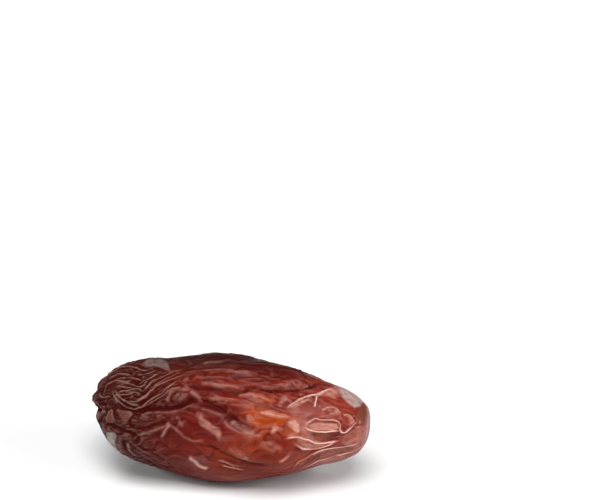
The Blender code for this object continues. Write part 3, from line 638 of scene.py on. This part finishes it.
# %% [markdown]
# ## The net of small wrinkles
#
# Between the great folds the skin puckers into long cells with thin ridges between them. Scatter
# points over the skin and give each the area nearest to it: the borders of those areas are such a
# net. Measuring distance with a stretched ruler, long along the fruit and short around it, makes the
# cells long, and shaking the skin with soft uneven waves first keeps the borders from being straight.
# The near side's folds are drawn already, so there the nets stay faint; the dry stem end has the
# finest one.

# %% Swells and long cells
SWELLS = {"sizes": (22.0, 9.0, 9.0), "count": 14, "seed": 3}
SWELL_HEIGHT = 0.35
SHALLOWS = {"sizes": (9.0, 3.2, 3.2), "count": 20, "seed": 31}
SHALLOW_DEPTH = 0.22
LONG_CELLS = {"length": 9.0, "breadth": 2.8, "count": 110, "seed": 5}
SHORT_CELLS = {"length": 4.2, "breadth": 1.3, "count": 700, "seed": 9}
FINE_CELLS = {"length": 2.6, "breadth": 0.75, "count": 2200, "seed": 13}


def climbs(values, start, width):
    """0 up to the start, rising evenly to 1 over the width, and 1 beyond it."""
    return np.clip((values - start) / width, 0.0, 1.0)


def round_fruit():
    """The turn of each place, zero on the near side and a quarter turn on top."""
    return np.arctan2(place_z, -place_y)


def turned_by(turn, other):
    """The way from the other turn to this one, between minus half a turn and half a turn."""
    return (turn - other + math.pi) % (2 * math.pi) - math.pi


def cell_borders(length, breadth, count, seed):
    """Second least distance minus least distance to the seeded points: zero on the cell borders."""
    random = np.random.default_rng(seed)
    x = place_x + 0.35 * length * ripples(places, (9.0, 6.0, 6.0), 16, seed + 1)
    turn = round_fruit() + 0.08 * ripples(places, (7.0, 5.0, 5.0), 16, seed + 2)
    point_x = random.uniform(-27.0, 27.0, count)
    point_turn = random.uniform(-math.pi, math.pi, count)
    first, second = np.full((2, len(places)), 1e9)
    order = np.argsort(x)
    for px, pt in zip(point_x, point_turn):
        start, stop = np.searchsorted(x[order], (px - 2.5 * length, px + 2.5 * length))
        near = order[start:stop]
        around = turned_by(turn[near], pt)
        distance = np.hypot((x[near] - px) / length, around * 0.5 * HEIGHT / breadth)
        second[near] = np.minimum(second[near], np.maximum(first[near], distance))
        first[near] = np.minimum(first[near], distance)
    return second - first, first


print("the short way from -90 to 180 degrees:", round(math.degrees(turned_by(math.pi, -0.5 * math.pi))))

# %% Three nets
LONG_RIDGE, LONG_HOLLOW = 0.50, 0.20
SHORT_RIDGE, FINE_RIDGE = 0.16, 0.11
hidden = 1.0 - np.clip(0.85 + 1.2 * (out @ axes_of_view(VIEW_TURN, VIEW_TILT)[0]), 0.0, 1.0)
ends_share = climbs(np.abs(place_x), 19.0, 5.0)
stem_half = climbs(-place_x, 8.0, 8.0)
dry_skin = climbs(-place_x, 4.0, 10.0)


def net_relief():
    """Ridges exp(-border / width) of three nets less the cells' hollows and a few shallow valleys."""
    border, middle = cell_borders(**LONG_CELLS)
    relief = LONG_RIDGE * np.exp(-border / 0.20) - LONG_HOLLOW * np.exp(-((middle / 0.6) ** 2))
    relief *= (0.12 + 0.68 * hidden) * (1.0 - 0.6 * ends_share)
    border = cell_borders(**SHORT_CELLS)[0]
    relief += SHORT_RIDGE * np.exp(-border / 0.20) * (0.05 + 0.45 * stem_half + 0.15 * hidden)
    border = cell_borders(**FINE_CELLS)[0]
    relief += FINE_RIDGE * np.exp(-border / 0.22) * (0.10 + 0.75 * dry_skin + 0.15 * hidden)
    valleys = SHALLOW_DEPTH * np.exp(-np.abs(ripples(places, **SHALLOWS)) / 0.12)
    return relief - valleys * (0.15 + 0.85 * hidden)


wrinkle_relief = net_relief()
print("the net reaches from", wrinkle_relief.min().round(2), "to", wrinkle_relief.max().round(2), "mm")

# %% [markdown]
# Between its ridges dried skin isn't round but crinkled: it is made of small, nearly flat facets that
# each lean their own way, and each one catches the light at another moment. A facet is a tilted
# plane round a scattered point, and a soft choice between neighbours joins them with thin creases.

# %% Small tilted facets
FACETS = {"length": 3.6, "breadth": 1.5, "count": 420, "seed": 23, "tilt": 0.10, "sharpness": 13.0}


def facet_relief(length, breadth, count, seed, tilt, sharpness):
    """Planes tilt.(p - centre), mixed with weights exp(-sharpness x distance) that add up to one."""
    random = np.random.default_rng(seed)
    x = place_x + 0.30 * length * ripples(places, (6.0, 4.0, 4.0), 16, seed + 1)
    turn = round_fruit() + 0.06 * ripples(places, (5.0, 4.0, 4.0), 16, seed + 2)
    total = np.full(len(places), 1e-12)
    mixed = np.zeros(len(places))
    for _ in range(count):
        centre_x, centre_turn = random.uniform(-26.0, 26.0), random.uniform(-math.pi, math.pi)
        lean_x, lean_turn = random.normal(0.0, tilt, 2)
        across = turned_by(turn, centre_turn) * 0.5 * HEIGHT
        distance = np.hypot((x - centre_x) / length, across / breadth)
        near = distance < 2.0
        weight = np.exp(-sharpness * distance[near])
        mixed[near] += weight * (0.5 * lean_x * (x[near] - centre_x) + lean_turn * across[near])
        total[near] += weight
    return np.clip(mixed / total, -0.4, 0.4)


facet_heights = facet_relief(**FACETS)
print("facets reach from", facet_heights.min().round(2), "to", facet_heights.max().round(2), "mm")

# %% [markdown]
# ## The stem end
#
# All pleats run together where the fruit hung from its stalk. A wave that goes many times round the
# axis gives pleats that meet by themselves at the pole. Six slower lobes make the knobs round the
# scar, and the scar itself is a small hollow.

# %% Pleats, knobs and the stem scar
PLEAT_COUNT, PLEAT_HEIGHT = 14, 0.35
KNOB_COUNT, KNOB_HEIGHT = 6, 0.55
SCAR_DEPTH, SCAR_RADIUS = 0.9, 1.3


def stem_relief():
    """Pleats |cos(n turn + wobble)|^1.5, knobs cos(6 turn), and a hollow exp(-(r/1.3)^2) at the pole."""
    turn = round_fruit()
    radius = np.hypot(place_y, place_z)
    cap = climbs(-place_x, 15.5, 6.0)
    wobble = 1.6 * ripples(places, (6.0, 6.0, 6.0), 14, 41)
    pleats = np.abs(np.cos(PLEAT_COUNT * turn + wobble)) ** 1.5 - 0.5
    relief = PLEAT_HEIGHT * cap * climbs(radius, 0.0, 6.0) * pleats * (0.35 + 0.65 * hidden)
    tip = climbs(-place_x, 21.2, 1.8)
    relief += KNOB_HEIGHT * tip * climbs(radius, 0.0, 3.5) * np.cos(KNOB_COUNT * turn + 0.8)
    return relief - SCAR_DEPTH * tip * np.exp(-((radius / SCAR_RADIUS) ** 2))


stem_end_relief = stem_relief()
print("the stem end reaches to", stem_end_relief.min().round(2), "and", stem_end_relief.max().round(2), "mm")

# %% [markdown]
# Some places are simply fuller than the plain body, or paler, or darker. For those a soft round spot
# is enough: how far across and down the picture, a size in millimetres, and a strength, which here is
# the height in millimetres.

# %% Soft spots
FULLER = "102,384,1.9,0.55 180,394,2.2,0.25 352,398,1.6,0.15"


def soft_spots(text):
    """Sum of strength times exp(-(distance / size)^2), stretched a little along the fruit."""
    total = np.zeros(len(places))
    for across, down, size, strength in drawn(text.split()):
        gaps = ((skin_pixels - (across, down)) ** 2).sum(axis=1)
        centre = skin_spots[gaps.argmin()]
        stretched = (places - centre) / (1.4 * size, size, size)
        total += strength * np.exp(-(stretched ** 2).sum(axis=1))
    return total


fuller_relief = soft_spots(FULLER)
print("the fullest place stands out", fuller_relief.max().round(2), "mm")

# %% [markdown]
# A few facets are so flat and sharp that a band along a line can't draw them: pale grey ones at the tip and
# the stem end, painted reflections of the white light, the brown one at the tip, cream ones between the
# ridges, partly paler skin and partly a painted glint, and pink ones at both ends, a painted sheen of the
# white floor.
# Each row gives a facet's tone, its height and the tone's strength, both in hundredths, and its
# outline in the picture. Inside it the skin is nearly flat, and it stands a little proud.

# %% Flat facets with an outline
FLAT_FACETS = """
bleached 14 62 338,389 345,388 352,391 364,401 362,406 357,407 350,403 343,397
bleached 5 22 146,369 152,363 160,361 168,364 170,369 158,367
bleached 16 55 110,431 118,431 121,434 119,442 122,451 116,449 111,441
cream 12 60 291,422 298,420 301,424 301,432 297,430
cream 3 30 319,393 330,390 338,388 342,396 337,399 327,396 318,397
cream 3 30 312,425 320,423 339,424 341,428 338,430 318,430 312,428
brown 10 90 364,403 369,407 369,422 361,425 358,417 361,409
brown 2 50 299,466 304,460 312,457 322,456 321,461 309,464
rosy 2 45 322,456 335,453 348,450 361,445 364,448 352,454 336,457 322,460
rosy 6 45 346,436 352,432 359,427 369,424 368,440 360,447 350,449 344,444
rosy 5 25 112,409 118,422 107,423
rosy 5 25 118,410 134,413 129,422 122,417
rosy 3 90 312,425 320,423 339,424 341,428 338,430 318,430 312,428
rosy 3 70 298,441 312,443 328,445 340,442 326,447 310,447
"""
FACET_EDGE = 0.9
FLATTENING = 0.75
FLAT_AT = 0.10
place_pixels = in_picture(places)
to_eye = axes_of_view(VIEW_TURN, VIEW_TILT)[0] * VIEW_DISTANCE - places
faces_eye = (to_eye * out).sum(axis=1) > 0


def inside_outline(words):
    """1 inside a closed outline and 0 outside; the change takes FACET_EDGE pixels to each side.

    A place is inside where a level line from it crosses the outline an odd number of times."""
    corners = drawn(words)
    nearest = np.full(len(places), 1e9)
    odd = np.zeros(len(places), bool)
    for start, end in zip(corners, np.roll(corners, -1, axis=0)):
        step = end - start
        share = np.clip((place_pixels - start) @ step / (step @ step), 0.0, 1.0)
        gap = place_pixels - start - share[:, None] * step
        nearest = np.minimum(nearest, np.hypot(gap[:, 0], gap[:, 1]))
        above = (start[1] > place_pixels[:, 1]) != (end[1] > place_pixels[:, 1])
        rise = np.where(above, (place_pixels[:, 1] - start[1]) / (step[1] if step[1] else 1.0), 0.0)
        odd ^= above & (place_pixels[:, 0] < start[0] + rise * step[0])
    signed = np.where(odd, nearest, -nearest)
    return np.clip(0.5 + signed / (2 * FACET_EDGE), 0.0, 1.0) * faces_eye


facet_masks = {}
facet_step = np.zeros(len(places))
for tone, height, strength, *outline in table(FLAT_FACETS):
    height, strength = hundredths(height, strength)
    inside = inside_outline(outline)
    facet_masks[tone] = np.maximum(facet_masks.get(tone, 0.0), strength * inside)
    facet_step = np.maximum(facet_step, height * inside)

print("flat facets cover", int((facet_step > 0.0).sum()), "places in", len(facet_masks), "tones")
flattened = FLATTENING * np.clip(facet_step / FLAT_AT, 0.0, 1.0)

# %% [markdown]
# ## The finished skin
#
# All the reliefs are added up and push the body in or out along its own outward direction. The
# underside carries the fruit's weight, so its folds are nearly pressed out, and a thin slice of it is
# flat. The grid is then laid into the box of the construction model.

# %% The skin as a mesh
UNDER_LENGTH = 12.0
SMALL_FACETS = 0.6


def in_scene(name, data):
    """A new object for the data, linked to the scene."""
    made = bpy.data.objects.new(name, data)
    bpy.context.collection.objects.link(made)
    return made


def closed_mesh(name, grid):
    """Quads between neighbouring rings, and a fan of triangles round one point at each end."""
    rows, segments = grid.shape[:2]
    poles = np.stack([grid[0].mean(axis=0), grid[-1].mean(axis=0)])
    vertices = np.vstack([grid.reshape(-1, 3), poles]) * MM
    here = np.arange(segments)
    after = (here + 1) % segments
    first = np.arange(rows - 1)[:, None] * segments
    quads = np.stack([first + here, first + after, first + after + segments, first + here + segments], axis=2)
    stem = np.stack([np.full(segments, rows * segments), after, here], axis=1)
    last = (rows - 1) * segments
    tip = np.stack([np.full(segments, rows * segments + 1), last + here, last + after], axis=1)
    faces = quads.reshape(-1, 4).tolist() + stem.tolist() + tip.tolist()
    mesh = bpy.data.meshes.new(name)
    mesh.from_pydata(vertices.tolist(), [], faces)
    mesh.update()
    return mesh


pressed = np.exp(-((place_x / UNDER_LENGTH) ** 2)) * climbs(-place_z, 6.5, 3.0)
tip_cap = climbs(place_x, 21.0, 2.5)
below_tip = climbs(place_x, 11.0, 4.0) * climbs(-place_z, 2.0, 3.0)
swell = SWELL_HEIGHT * ripples(places, **SWELLS) * (1.0 - 0.5 * ends_share)
small = fold_relief + wrinkle_relief + patch_relief
small += SMALL_FACETS * facet_heights * (1.0 - 0.7 * ends_share)
relief = small * (1.0 - flattened) + facet_step
relief += stem_end_relief + fuller_relief + swell
relief *= (1.0 - 0.6 * tip_cap) * (1.0 - 0.75 * below_tip) * (1.0 - 0.9 * pressed)
skin = body_grid + body_out * relief.reshape(*body_grid.shape[:2], 1)
floor_height = skin[:, :, 2].min() + PRESSED_DEPTH
skin[:, :, 2] = np.maximum(skin[:, :, 2], floor_height)
box_middle = 0.5 * (np.array(low_corner) + np.array(high_corner)) / MM
skin_middle = 0.5 * (skin.min(axis=(0, 1)) + skin.max(axis=(0, 1)))
shift = np.array([box_middle[0] - skin_middle[0], box_middle[1] - skin_middle[1], -floor_height])
skin += shift
date = in_scene("date_skin", closed_mesh("date_skin", skin))
date.data.shade_smooth()
print("skin of", len(date.data.vertices), "vertices,", np.ptp(skin, axis=(0, 1)).round(1).tolist(), "mm")

# %% [markdown]
# ## Where the colours lie
#
# The colours of a date follow its form, so they come from the same arrays that made the form; among them is
# painted light: shade on the top, underneath, in the hollows and creases, and highlights, sheen and
# reflections on crests, patches and facets. Only the amber glow, the painted shade of the darkest hollows,
# the pink painted sheen and two sticky gleams are placed as soft spots.
# All are kept on the mesh as attributes, one number for each vertex, and the material reads them by
# name.

# %% Soft tones
AMBER_SPOTS = (
    "268,408,2.4,0.80 264,420,2.0,0.90 286,424,2.4,0.70 250,449,2.6,0.50 300,433,1.6,0.50 "
    "288,464,3.0,0.40 314,458,1.6,0.90 210,467,2.2,0.25 101,384,1.1,0.90 180,366,2.6,0.35 "
    "232,464,2.6,0.30"
)
# Dark spots: painted shade in creases and in the gaps between wrinkles.
DARK_SPOTS = (
    "140,384,1.3,0.60 146,397,1.3,0.80 134,398,1.0,0.70 122,400,0.9,0.50 156,406,1.3,0.70 "
    "170,403,1.2,0.70 186,400,1.2,0.60 366,411,1.1,0.80 95,408,0.9,0.70 99,424,0.9,0.70 97,395,0.7,0.50 "
    "112,428,1.0,0.50 130,384,3.0,0.45 125,425,1.6,0.50 150,370,1.2,0.50 106,399,0.9,0.60 "
    "330,437,0.9,0.40"
)
# Pink spots: a painted sheen where the tip and the lower lip would mirror the white floor.
PINK_SHEEN_SPOTS = (
    "304,428,1.5,0.45 318,435,1.8,0.30 326,411,1.6,0.35 318,420,1.4,0.25 332,459,1.8,0.45 "
    "350,453,1.6,0.40 215,477,2.2,0.20 245,479,2.0,0.20 298,410,1.6,0.25"
)
STICKY_SPOTS = "198,464,1.4,0.70 246,454,1.4,0.30"


def by_grid(values):
    """A flat array of one number per place as rows of rings."""
    return values.reshape(body_grid.shape[:2])


def eased(values, rounds):
    """Each value = half itself plus an eighth of each of its four neighbours, repeated."""
    grid = by_grid(values).copy()
    for _ in range(rounds):
        rings = np.concatenate([grid[:1], grid, grid[-1:]])
        around = np.roll(grid, 1, axis=1) + np.roll(grid, -1, axis=1)
        grid = 0.5 * grid + 0.125 * (rings[:-2] + rings[2:] + around)
    return grid.reshape(-1)


def amber_glow():
    """The amber spots broken up by waves, and slow waves of the same glow on the far side."""
    broken = 0.75 + 0.35 * ripples(places, (5.0, 2.5, 2.5), 20, 62)
    return soft_spots(AMBER_SPOTS) * broken + 0.20 * hidden * ripples(places, (14.0, 6.0, 6.0), 12, 61)


glow = amber_glow()
print("the glow reaches", glow.max().round(2))

# %% Masks on the mesh
STANDING = 0.10


def add_mask(name, values):
    """One number from 0 to 1 per vertex; the two poles take the mean of the ring next to them."""
    values = np.clip(values, 0.0, 1.0)
    full = np.concatenate([values, by_grid(values)[[0, -1]].mean(axis=1)])
    layer = date.data.attributes.new(name, "FLOAT", "POINT")
    layer.data.foreach_set("value", full.astype(np.float32))
    print(name, "averages", round(float(full.mean()), 3))


uneven = np.clip(0.85 + 0.30 * ripples(places, (4.0, 2.0, 2.0), 20, 71), 0.35, 1.2)
pale_crests = crest_mask * uneven
facet_masks["rosy"] = np.maximum(facet_masks["rosy"], soft_spots(PINK_SHEEN_SPOTS) * uneven)
# Relief above its eased self gets lighter crests, a painted highlight; relief below it is a hollow that takes
# painted shade.
standing = (relief - eased(relief, 14)) / STANDING
hollow = np.clip(-standing, 0.0, 1.0)
tip_end = climbs(place_x, 9.0, 8.0)
# Underneath, the colour is darkened as painted shade and the gloss is lowered.
underside = climbs(0.25 * place_y - place_z, -1.0, 8.0)
# Along the top, the colour is darkened nearly to black as painted shade, and its pale crests and gloss are
# dimmed.
upper = climbs(place_z + 0.5 * place_y, 6.5, 4.0) * climbs(-place_y, -8.0, 4.0)
crests = pale_crests + np.clip(standing, 0.0, 1.0) * (0.10 + 0.35 * dry_skin)
gloss = 0.13 + 0.40 * tip_end + 0.15 * np.clip(lifted_pale_and_sheen, 0.0, 1.0) + 0.5 * pale_crests
gloss *= (1.0 - 0.7 * dry_skin) * (1.0 - 0.85 * underside * (1.0 - tip_end)) * (1.0 - 0.8 * upper)
gloss *= (1.0 - 0.8 * np.clip(deep_mask, 0.0, 1.0)) * (1.0 - 0.5 * facet_masks["rosy"]) * (1.0 - 0.7 * hollow)
# Masks that carry painted light: shade in the hollows, the grooves, on the top and underneath; highlight on
# the crests; sheen on the lifted patches and the pink facets; reflection on the pale grey facets.
MASKS = {
    "crest": crests * (1.0 - 0.5 * upper),
    "hollow": hollow,
    "deep": deep_mask + soft_spots(DARK_SPOTS),
    "lifted": np.clip(lifted_pale_and_sheen, 0.0, 1.0) * (1.0 - 0.3 * dry_skin),
    **facet_masks,
    "glow": glow,
    "dry": dry_skin,
    "tip_end": tip_end,
    "upper": upper,
    "underside": underside,
    "streaked": climbs(place_z, 4.0, 3.0) * (1.0 - 0.6 * dry_skin),
    "gloss": gloss + soft_spots(STICKY_SPOTS),
}
for name, values in MASKS.items():
    add_mask(name, values)

# %% [markdown]
# ## The skin's material
#
# The Principled shader does the gloss and lets light into the flesh. The nodes before it only mix
# colours and numbers, and the same few kinds of node come again and again. A small workbench keeps
# them short: each of its tools adds one node and gives back what the node puts out.

# %% A workbench for nodes
class Bench:
    """Adds nodes to one material. A socket is fed a number, a colour or another node's output."""

    def __init__(self, tree):
        """Keeps the material's node tree and the place on the object in metres."""
        self.tree = tree
        self.where = self.add("TexCoord", {}, "Object")

    def add(self, kind, inputs, output=0, **settings):
        """One node: its properties are set by name, its sockets by number or name."""
        made = self.tree.nodes.new("ShaderNode" + kind)
        for name, value in settings.items():
            setattr(made, name, value)
        for socket, value in inputs.items():
            self.feed(made.inputs[socket], value)
        return made.outputs[output]

    def feed(self, socket, value):
        """Links an output, or sets a constant; a colour gets its fourth number."""
        if isinstance(value, bpy.types.NodeSocket):
            self.tree.links.new(value, socket)
        else:
            socket.default_value = (*value, 1.0) if socket.type == "RGBA" else value

    def mask(self, name):
        """The number that the mesh keeps under that name."""
        return self.add("Attribute", {}, "Fac", attribute_name=name)

    def noise(self, share, scale, detail):
        """Soft random waves, scale of them in a metre round the fruit and a share of that along it."""
        where = self.add("Mapping", {"Vector": self.where, "Scale": (share, 1.0, 1.0)})
        return self.add("TexNoise", {"Vector": where, "Scale": scale, "Detail": detail})

    def ramp(self, value, low, high, start=0.0, end=1.0):
        """A number carried from the range low..high to start..end and held there."""
        return self.add("MapRange", {0: value, 1: low, 2: high, 3: start, 4: end})

    def times(self, a, b, plus=0.0):
        """Product of two numbers, plus a third."""
        return self.add("Math", {0: a, 1: b, 2: plus}, operation="MULTIPLY_ADD")

    def mix(self, amount, below, above):
        """Colour mix: below where amount is 0, above where it is 1."""
        return self.add("Mix", {0: amount, 6: below, 7: above}, 2, data_type="RGBA")


print("the bench has", len([tool for tool in vars(Bench) if not tool.startswith("_")]), "tools")

# %% [markdown]
# The base is a red brown with slow mottling, warmer at the tip end. Fine dark lines run along it, and on the
# top fine pale lines that are painted highlights. Then each mask lays its own tone over that, as in glazing:
# amber where the flesh glows, brown at the dry stem end, painted shade as near-black on the top and dark red
# underneath, in the hollows and in the creases, and last the pale tones: lifted and pinched skin that is
# partly painted sheen and highlight, a pink painted sheen, cream facets that are partly a painted glint, and
# pale grey painted reflections.
# The numbers of a tone are the reflected shares of red, green and blue light, and those of a noise
# are how far it is drawn out along the fruit, how fine it is, and how much detail it has.

# %% The skin's tones
DEEP_RED = (0.036, 0.0008, 0.0006)
RED_BROWN = (0.120, 0.005, 0.0025)
WARM_BROWN = (0.185, 0.013, 0.0045)
TIP_RED = (0.27, 0.032, 0.018)
AMBER = (0.27, 0.034, 0.002)
# Painted shade for the top of the fruit.
TOP_PAINTED_SHADE = (0.022, 0.0007, 0.0006)
STEM_BROWN = (0.024, 0.0035, 0.0024)
# Pale tones, partly the skin's own and partly painted light: highlight on the crests, sheen on the patches,
# pink sheen and pale grey reflection on some facets.
CREAM = (0.50, 0.23, 0.175)
STEM_GREY = (0.26, 0.150, 0.122)
TIP_CREAM = (0.80, 0.50, 0.40)
PINK_SHEEN = (0.34, 0.145, 0.115)
BROWN = (0.130, 0.034, 0.018)
FACET_CREAM = (0.54, 0.28, 0.21)
PAINTED_REFLECTION_GREY = (0.40, 0.36, 0.33)
# Amber and the stem's brown are the fruit's own tones; the near-black top and the dark red of the underside,
# the hollows and the grooves are painted shade.
GLAZES = [
    ("glow", 1.0, AMBER), ("dry", 0.85, STEM_BROWN), ("upper", 0.9, TOP_PAINTED_SHADE),
    ("underside", 0.22, DEEP_RED), ("hollow", 0.8, DEEP_RED), ("deep", 0.8, DEEP_RED),
]
NOISES = {
    "slow": (0.45, 170.0, 4.0), "quick": (0.45, 900.0, 5.0), "streaks": (0.45, 1300.0, 2.0),
    "lines": (0.10, 1500.0, 3.0), "fine": (1.0, 3600.0, 3.0),
}
print(len(GLAZES), "glazes and", len(NOISES), "noises")

# %% The dried skin
BUMP_HEIGHT = 0.00014


def dried_skin():
    """Mottled base, glazes by mask, pale tones last; bump = fine lines, pores and puckers added up."""
    material = bpy.data.materials.new("dried_skin")
    material.use_nodes = True
    shader = material.node_tree.nodes["Principled BSDF"]
    bench = Bench(material.node_tree)
    mask, ramp, times, mix = bench.mask, bench.ramp, bench.times, bench.mix
    slow, quick, streaks, lines, fine = (bench.noise(*sizes) for sizes in NOISES.values())
    dry, tip, crest, streaked = mask("dry"), mask("tip_end"), mask("crest"), mask("streaked")

    colour = mix(ramp(slow, 0.38, 0.68), RED_BROWN, WARM_BROWN)
    colour = mix(times(tip, 0.7), colour, TIP_RED)
    colour = mix(times(ramp(quick, 0.45, 0.7), 0.35), colour, DEEP_RED)
    colour = mix(times(ramp(lines, 0.45, 0.65), times(streaked, 0.22, 0.26)), colour, DEEP_RED)
    # Fine pale lines on the top: painted highlights along fine ridges.
    colour = mix(times(ramp(lines, 0.48, 0.38), times(streaked, 0.16)), colour, CREAM)
    colour = mix(times(ramp(fine, 0.50, 0.75), 0.30), colour, WARM_BROWN)
    # The glazes, painted shade among them.
    for name, strength, tone in GLAZES:
        colour = mix(times(mask(name), strength), colour, tone)

    # Pale tones last: partly the skin's own, partly painted highlight, sheen and reflection.
    pale = mix(dry, CREAM, STEM_GREY)
    patchy = times(mask("lifted"), ramp(streaks, 0.32, 0.66))
    colour = mix(times(patchy, 0.9), colour, pale)
    uneven_tint = ramp(streaks, 0.10, 0.55)
    colour = mix(times(mask("rosy"), uneven_tint), colour, PINK_SHEEN)
    colour = mix(mask("brown"), colour, BROWN)
    colour = mix(times(crest, 0.9), colour, mix(times(tip, crest), pale, TIP_CREAM))
    colour = mix(times(mask("cream"), uneven_tint), colour, FACET_CREAM)
    colour = mix(times(mask("bleached"), uneven_tint), colour, PAINTED_REFLECTION_GREY)

    gloss = mask("gloss")
    rough = ramp(times(gloss, -0.25, quick), 0.1, 0.8, 0.20, 0.55)
    rough = times(mask("hollow"), 0.25, times(mask("deep"), 0.45, rough))
    height = times(fine, 0.4, times(lines, times(streaked, -1.2, -0.7)))
    height = times(quick, 0.9, height)
    bench.feed(shader.inputs["Base Color"], colour)
    bench.feed(shader.inputs["Coat Weight"], gloss)
    bench.feed(shader.inputs["Roughness"], rough)
    bump = bench.add("Bump", {"Height": height, "Strength": 0.7, "Distance": BUMP_HEIGHT})
    bench.feed(shader.inputs["Normal"], bump)
    shader.inputs["Specular IOR Level"].default_value = 0.04
    shader.inputs["Coat Roughness"].default_value = 0.25
    shader.inputs["Subsurface Weight"].default_value = 0.12
    shader.inputs["Subsurface Radius"].default_value = (1.0, 0.22, 0.06)
    shader.inputs["Subsurface Scale"].default_value = 0.0010
    return material


date.data.materials.append(dried_skin())
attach(date, "root")
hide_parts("date")
print("the material has", len(date.data.materials[0].node_tree.nodes), "nodes")

# %% [markdown]
# ## The surface, the light and the camera
#
# The fruit lies on a plain white surface, far larger than the view, so that no edge of it shows.

# %% The surface
SURFACE_REACH = 3.0
SURFACE_WHITE = (0.80, 0.80, 0.80, 1.0)


def surface():
    """A flat square from minus to plus its reach in metres, matt and nearly white."""
    corners = [(x * SURFACE_REACH, y * SURFACE_REACH, 0.0) for x, y in ((-1, -1), (1, -1), (1, 1), (-1, 1))]
    mesh = bpy.data.meshes.new("surface")
    mesh.from_pydata(corners, [], [(0, 1, 2, 3)])
    plane = in_scene("surface", mesh)
    material = bpy.data.materials.new("white_surface")
    material.use_nodes = True
    inputs = material.node_tree.nodes["Principled BSDF"].inputs
    inputs["Base Color"].default_value = SURFACE_WHITE
    inputs["Roughness"].default_value = 0.9
    mesh.materials.append(material)
    return plane


print("the surface is", surface().dimensions.x, "m across")

# %% [markdown]
# The light is that of a small studio: a broad panel overhead, smaller ones at the sides for the long
# gleams, a small one in front for the bright lines on the ridges, and a weak one behind that rims the
# top. The last one lights only the ground behind, so that it stays white. Each row says where the
# panel stands and where it aims, in metres, its width and height, and its power in watts.

# %% Light
WORLD_LIGHT = 0.10
BACKDROP_SPREAD = math.radians(80.0)
MIDDLE = (0.0, 0.0, 0.01)
PANELS = [
    ("overhead", (0.05, -0.30, 0.64), MIDDLE, (0.50, 0.38), 5.4),
    ("left", (-0.55, -0.25, 0.35), MIDDLE, (0.14, 0.25), 1.3),
    ("right", (0.58, -0.12, 0.30), MIDDLE, (0.24, 0.22), 2.4),
    ("front", (-0.12, -0.62, 0.12), MIDDLE, (0.12, 0.06), 0.6),
    ("behind", (-0.20, 0.42, 0.40), MIDDLE, (0.06, 0.06), 0.25),
    ("backdrop", (0.0, 0.75, 0.60), (0.0, 0.62, 0.0), (1.2, 0.4), 3.2),
]


def pose(right, up, back, place):
    """The matrix whose columns are right, up and back, standing at the place."""
    rows = [[right[k], up[k], back[k], place[k]] for k in range(3)]
    return Matrix(rows + [[0.0, 0.0, 0.0, 1.0]])


def facing(place, target):
    """A lamp's pose at place: back points away from the target, right is y crossed with back."""
    back = np.array(place) - np.array(target)
    back /= np.linalg.norm(back)
    right = np.cross((0.0, 1.0, 0.0), back)
    right /= np.linalg.norm(right)
    return pose(right, np.cross(back, right), back, place)


for name, place, aim, size, power in PANELS:
    lamp = bpy.data.lights.new(name, "AREA")
    lamp.shape = "RECTANGLE"
    lamp.size, lamp.size_y = size
    lamp.energy = power
    if name == "backdrop":
        lamp.spread = BACKDROP_SPREAD
    in_scene(name, lamp).matrix_world = facing(place, aim)

world = bpy.data.worlds.new("studio")
world.use_nodes = True
background = world.node_tree.nodes["Background"]
background.inputs["Color"].default_value = (1.0, 1.0, 1.0, 1.0)
background.inputs["Strength"].default_value = WORLD_LIGHT
bpy.context.scene.world = world
bpy.context.scene.view_settings.view_transform = "Standard"
print(len(PANELS), "panels of light")

# %% [markdown]
# The fruit isn't in the middle of the picture but low in it, so the camera looks over it, less
# steeply than the line of sight to the fruit. It is moved sideways and up until the fruit's pixel
# falls where it belongs. That leaves the lens unshifted.

# %% Camera
PICTURE_SIZE = (600, 500)
LENS = 100.0
SENSOR = 36.0
CAMERA_TILT = math.radians(20.8)


def camera():
    """place = target + depth (back - right (px - w/2)/f - up (h/2 - py)/f), with f in pixels."""
    focal = LENS / SENSOR * PICTURE_SIZE[0]
    depth = focal / PIXELS_PER_MM * MM
    back, right, up = axes_of_view(VIEW_TURN, CAMERA_TILT)
    across = (PICTURE_MIDDLE[0] - PICTURE_SIZE[0] / 2) / focal
    above = (PICTURE_SIZE[1] / 2 - PICTURE_MIDDLE[1]) / focal
    place = shift * MM + depth * (back - across * right - above * up)
    data = bpy.data.cameras.new("camera")
    data.lens = LENS
    data.sensor_width = SENSOR
    eye = in_scene("camera", data)
    eye.matrix_world = pose(right, up, back, place)
    bpy.context.scene.camera = eye
    return place


print("the camera stands at", [round(float(value), 3) for value in camera()], "m")

# %% [markdown]
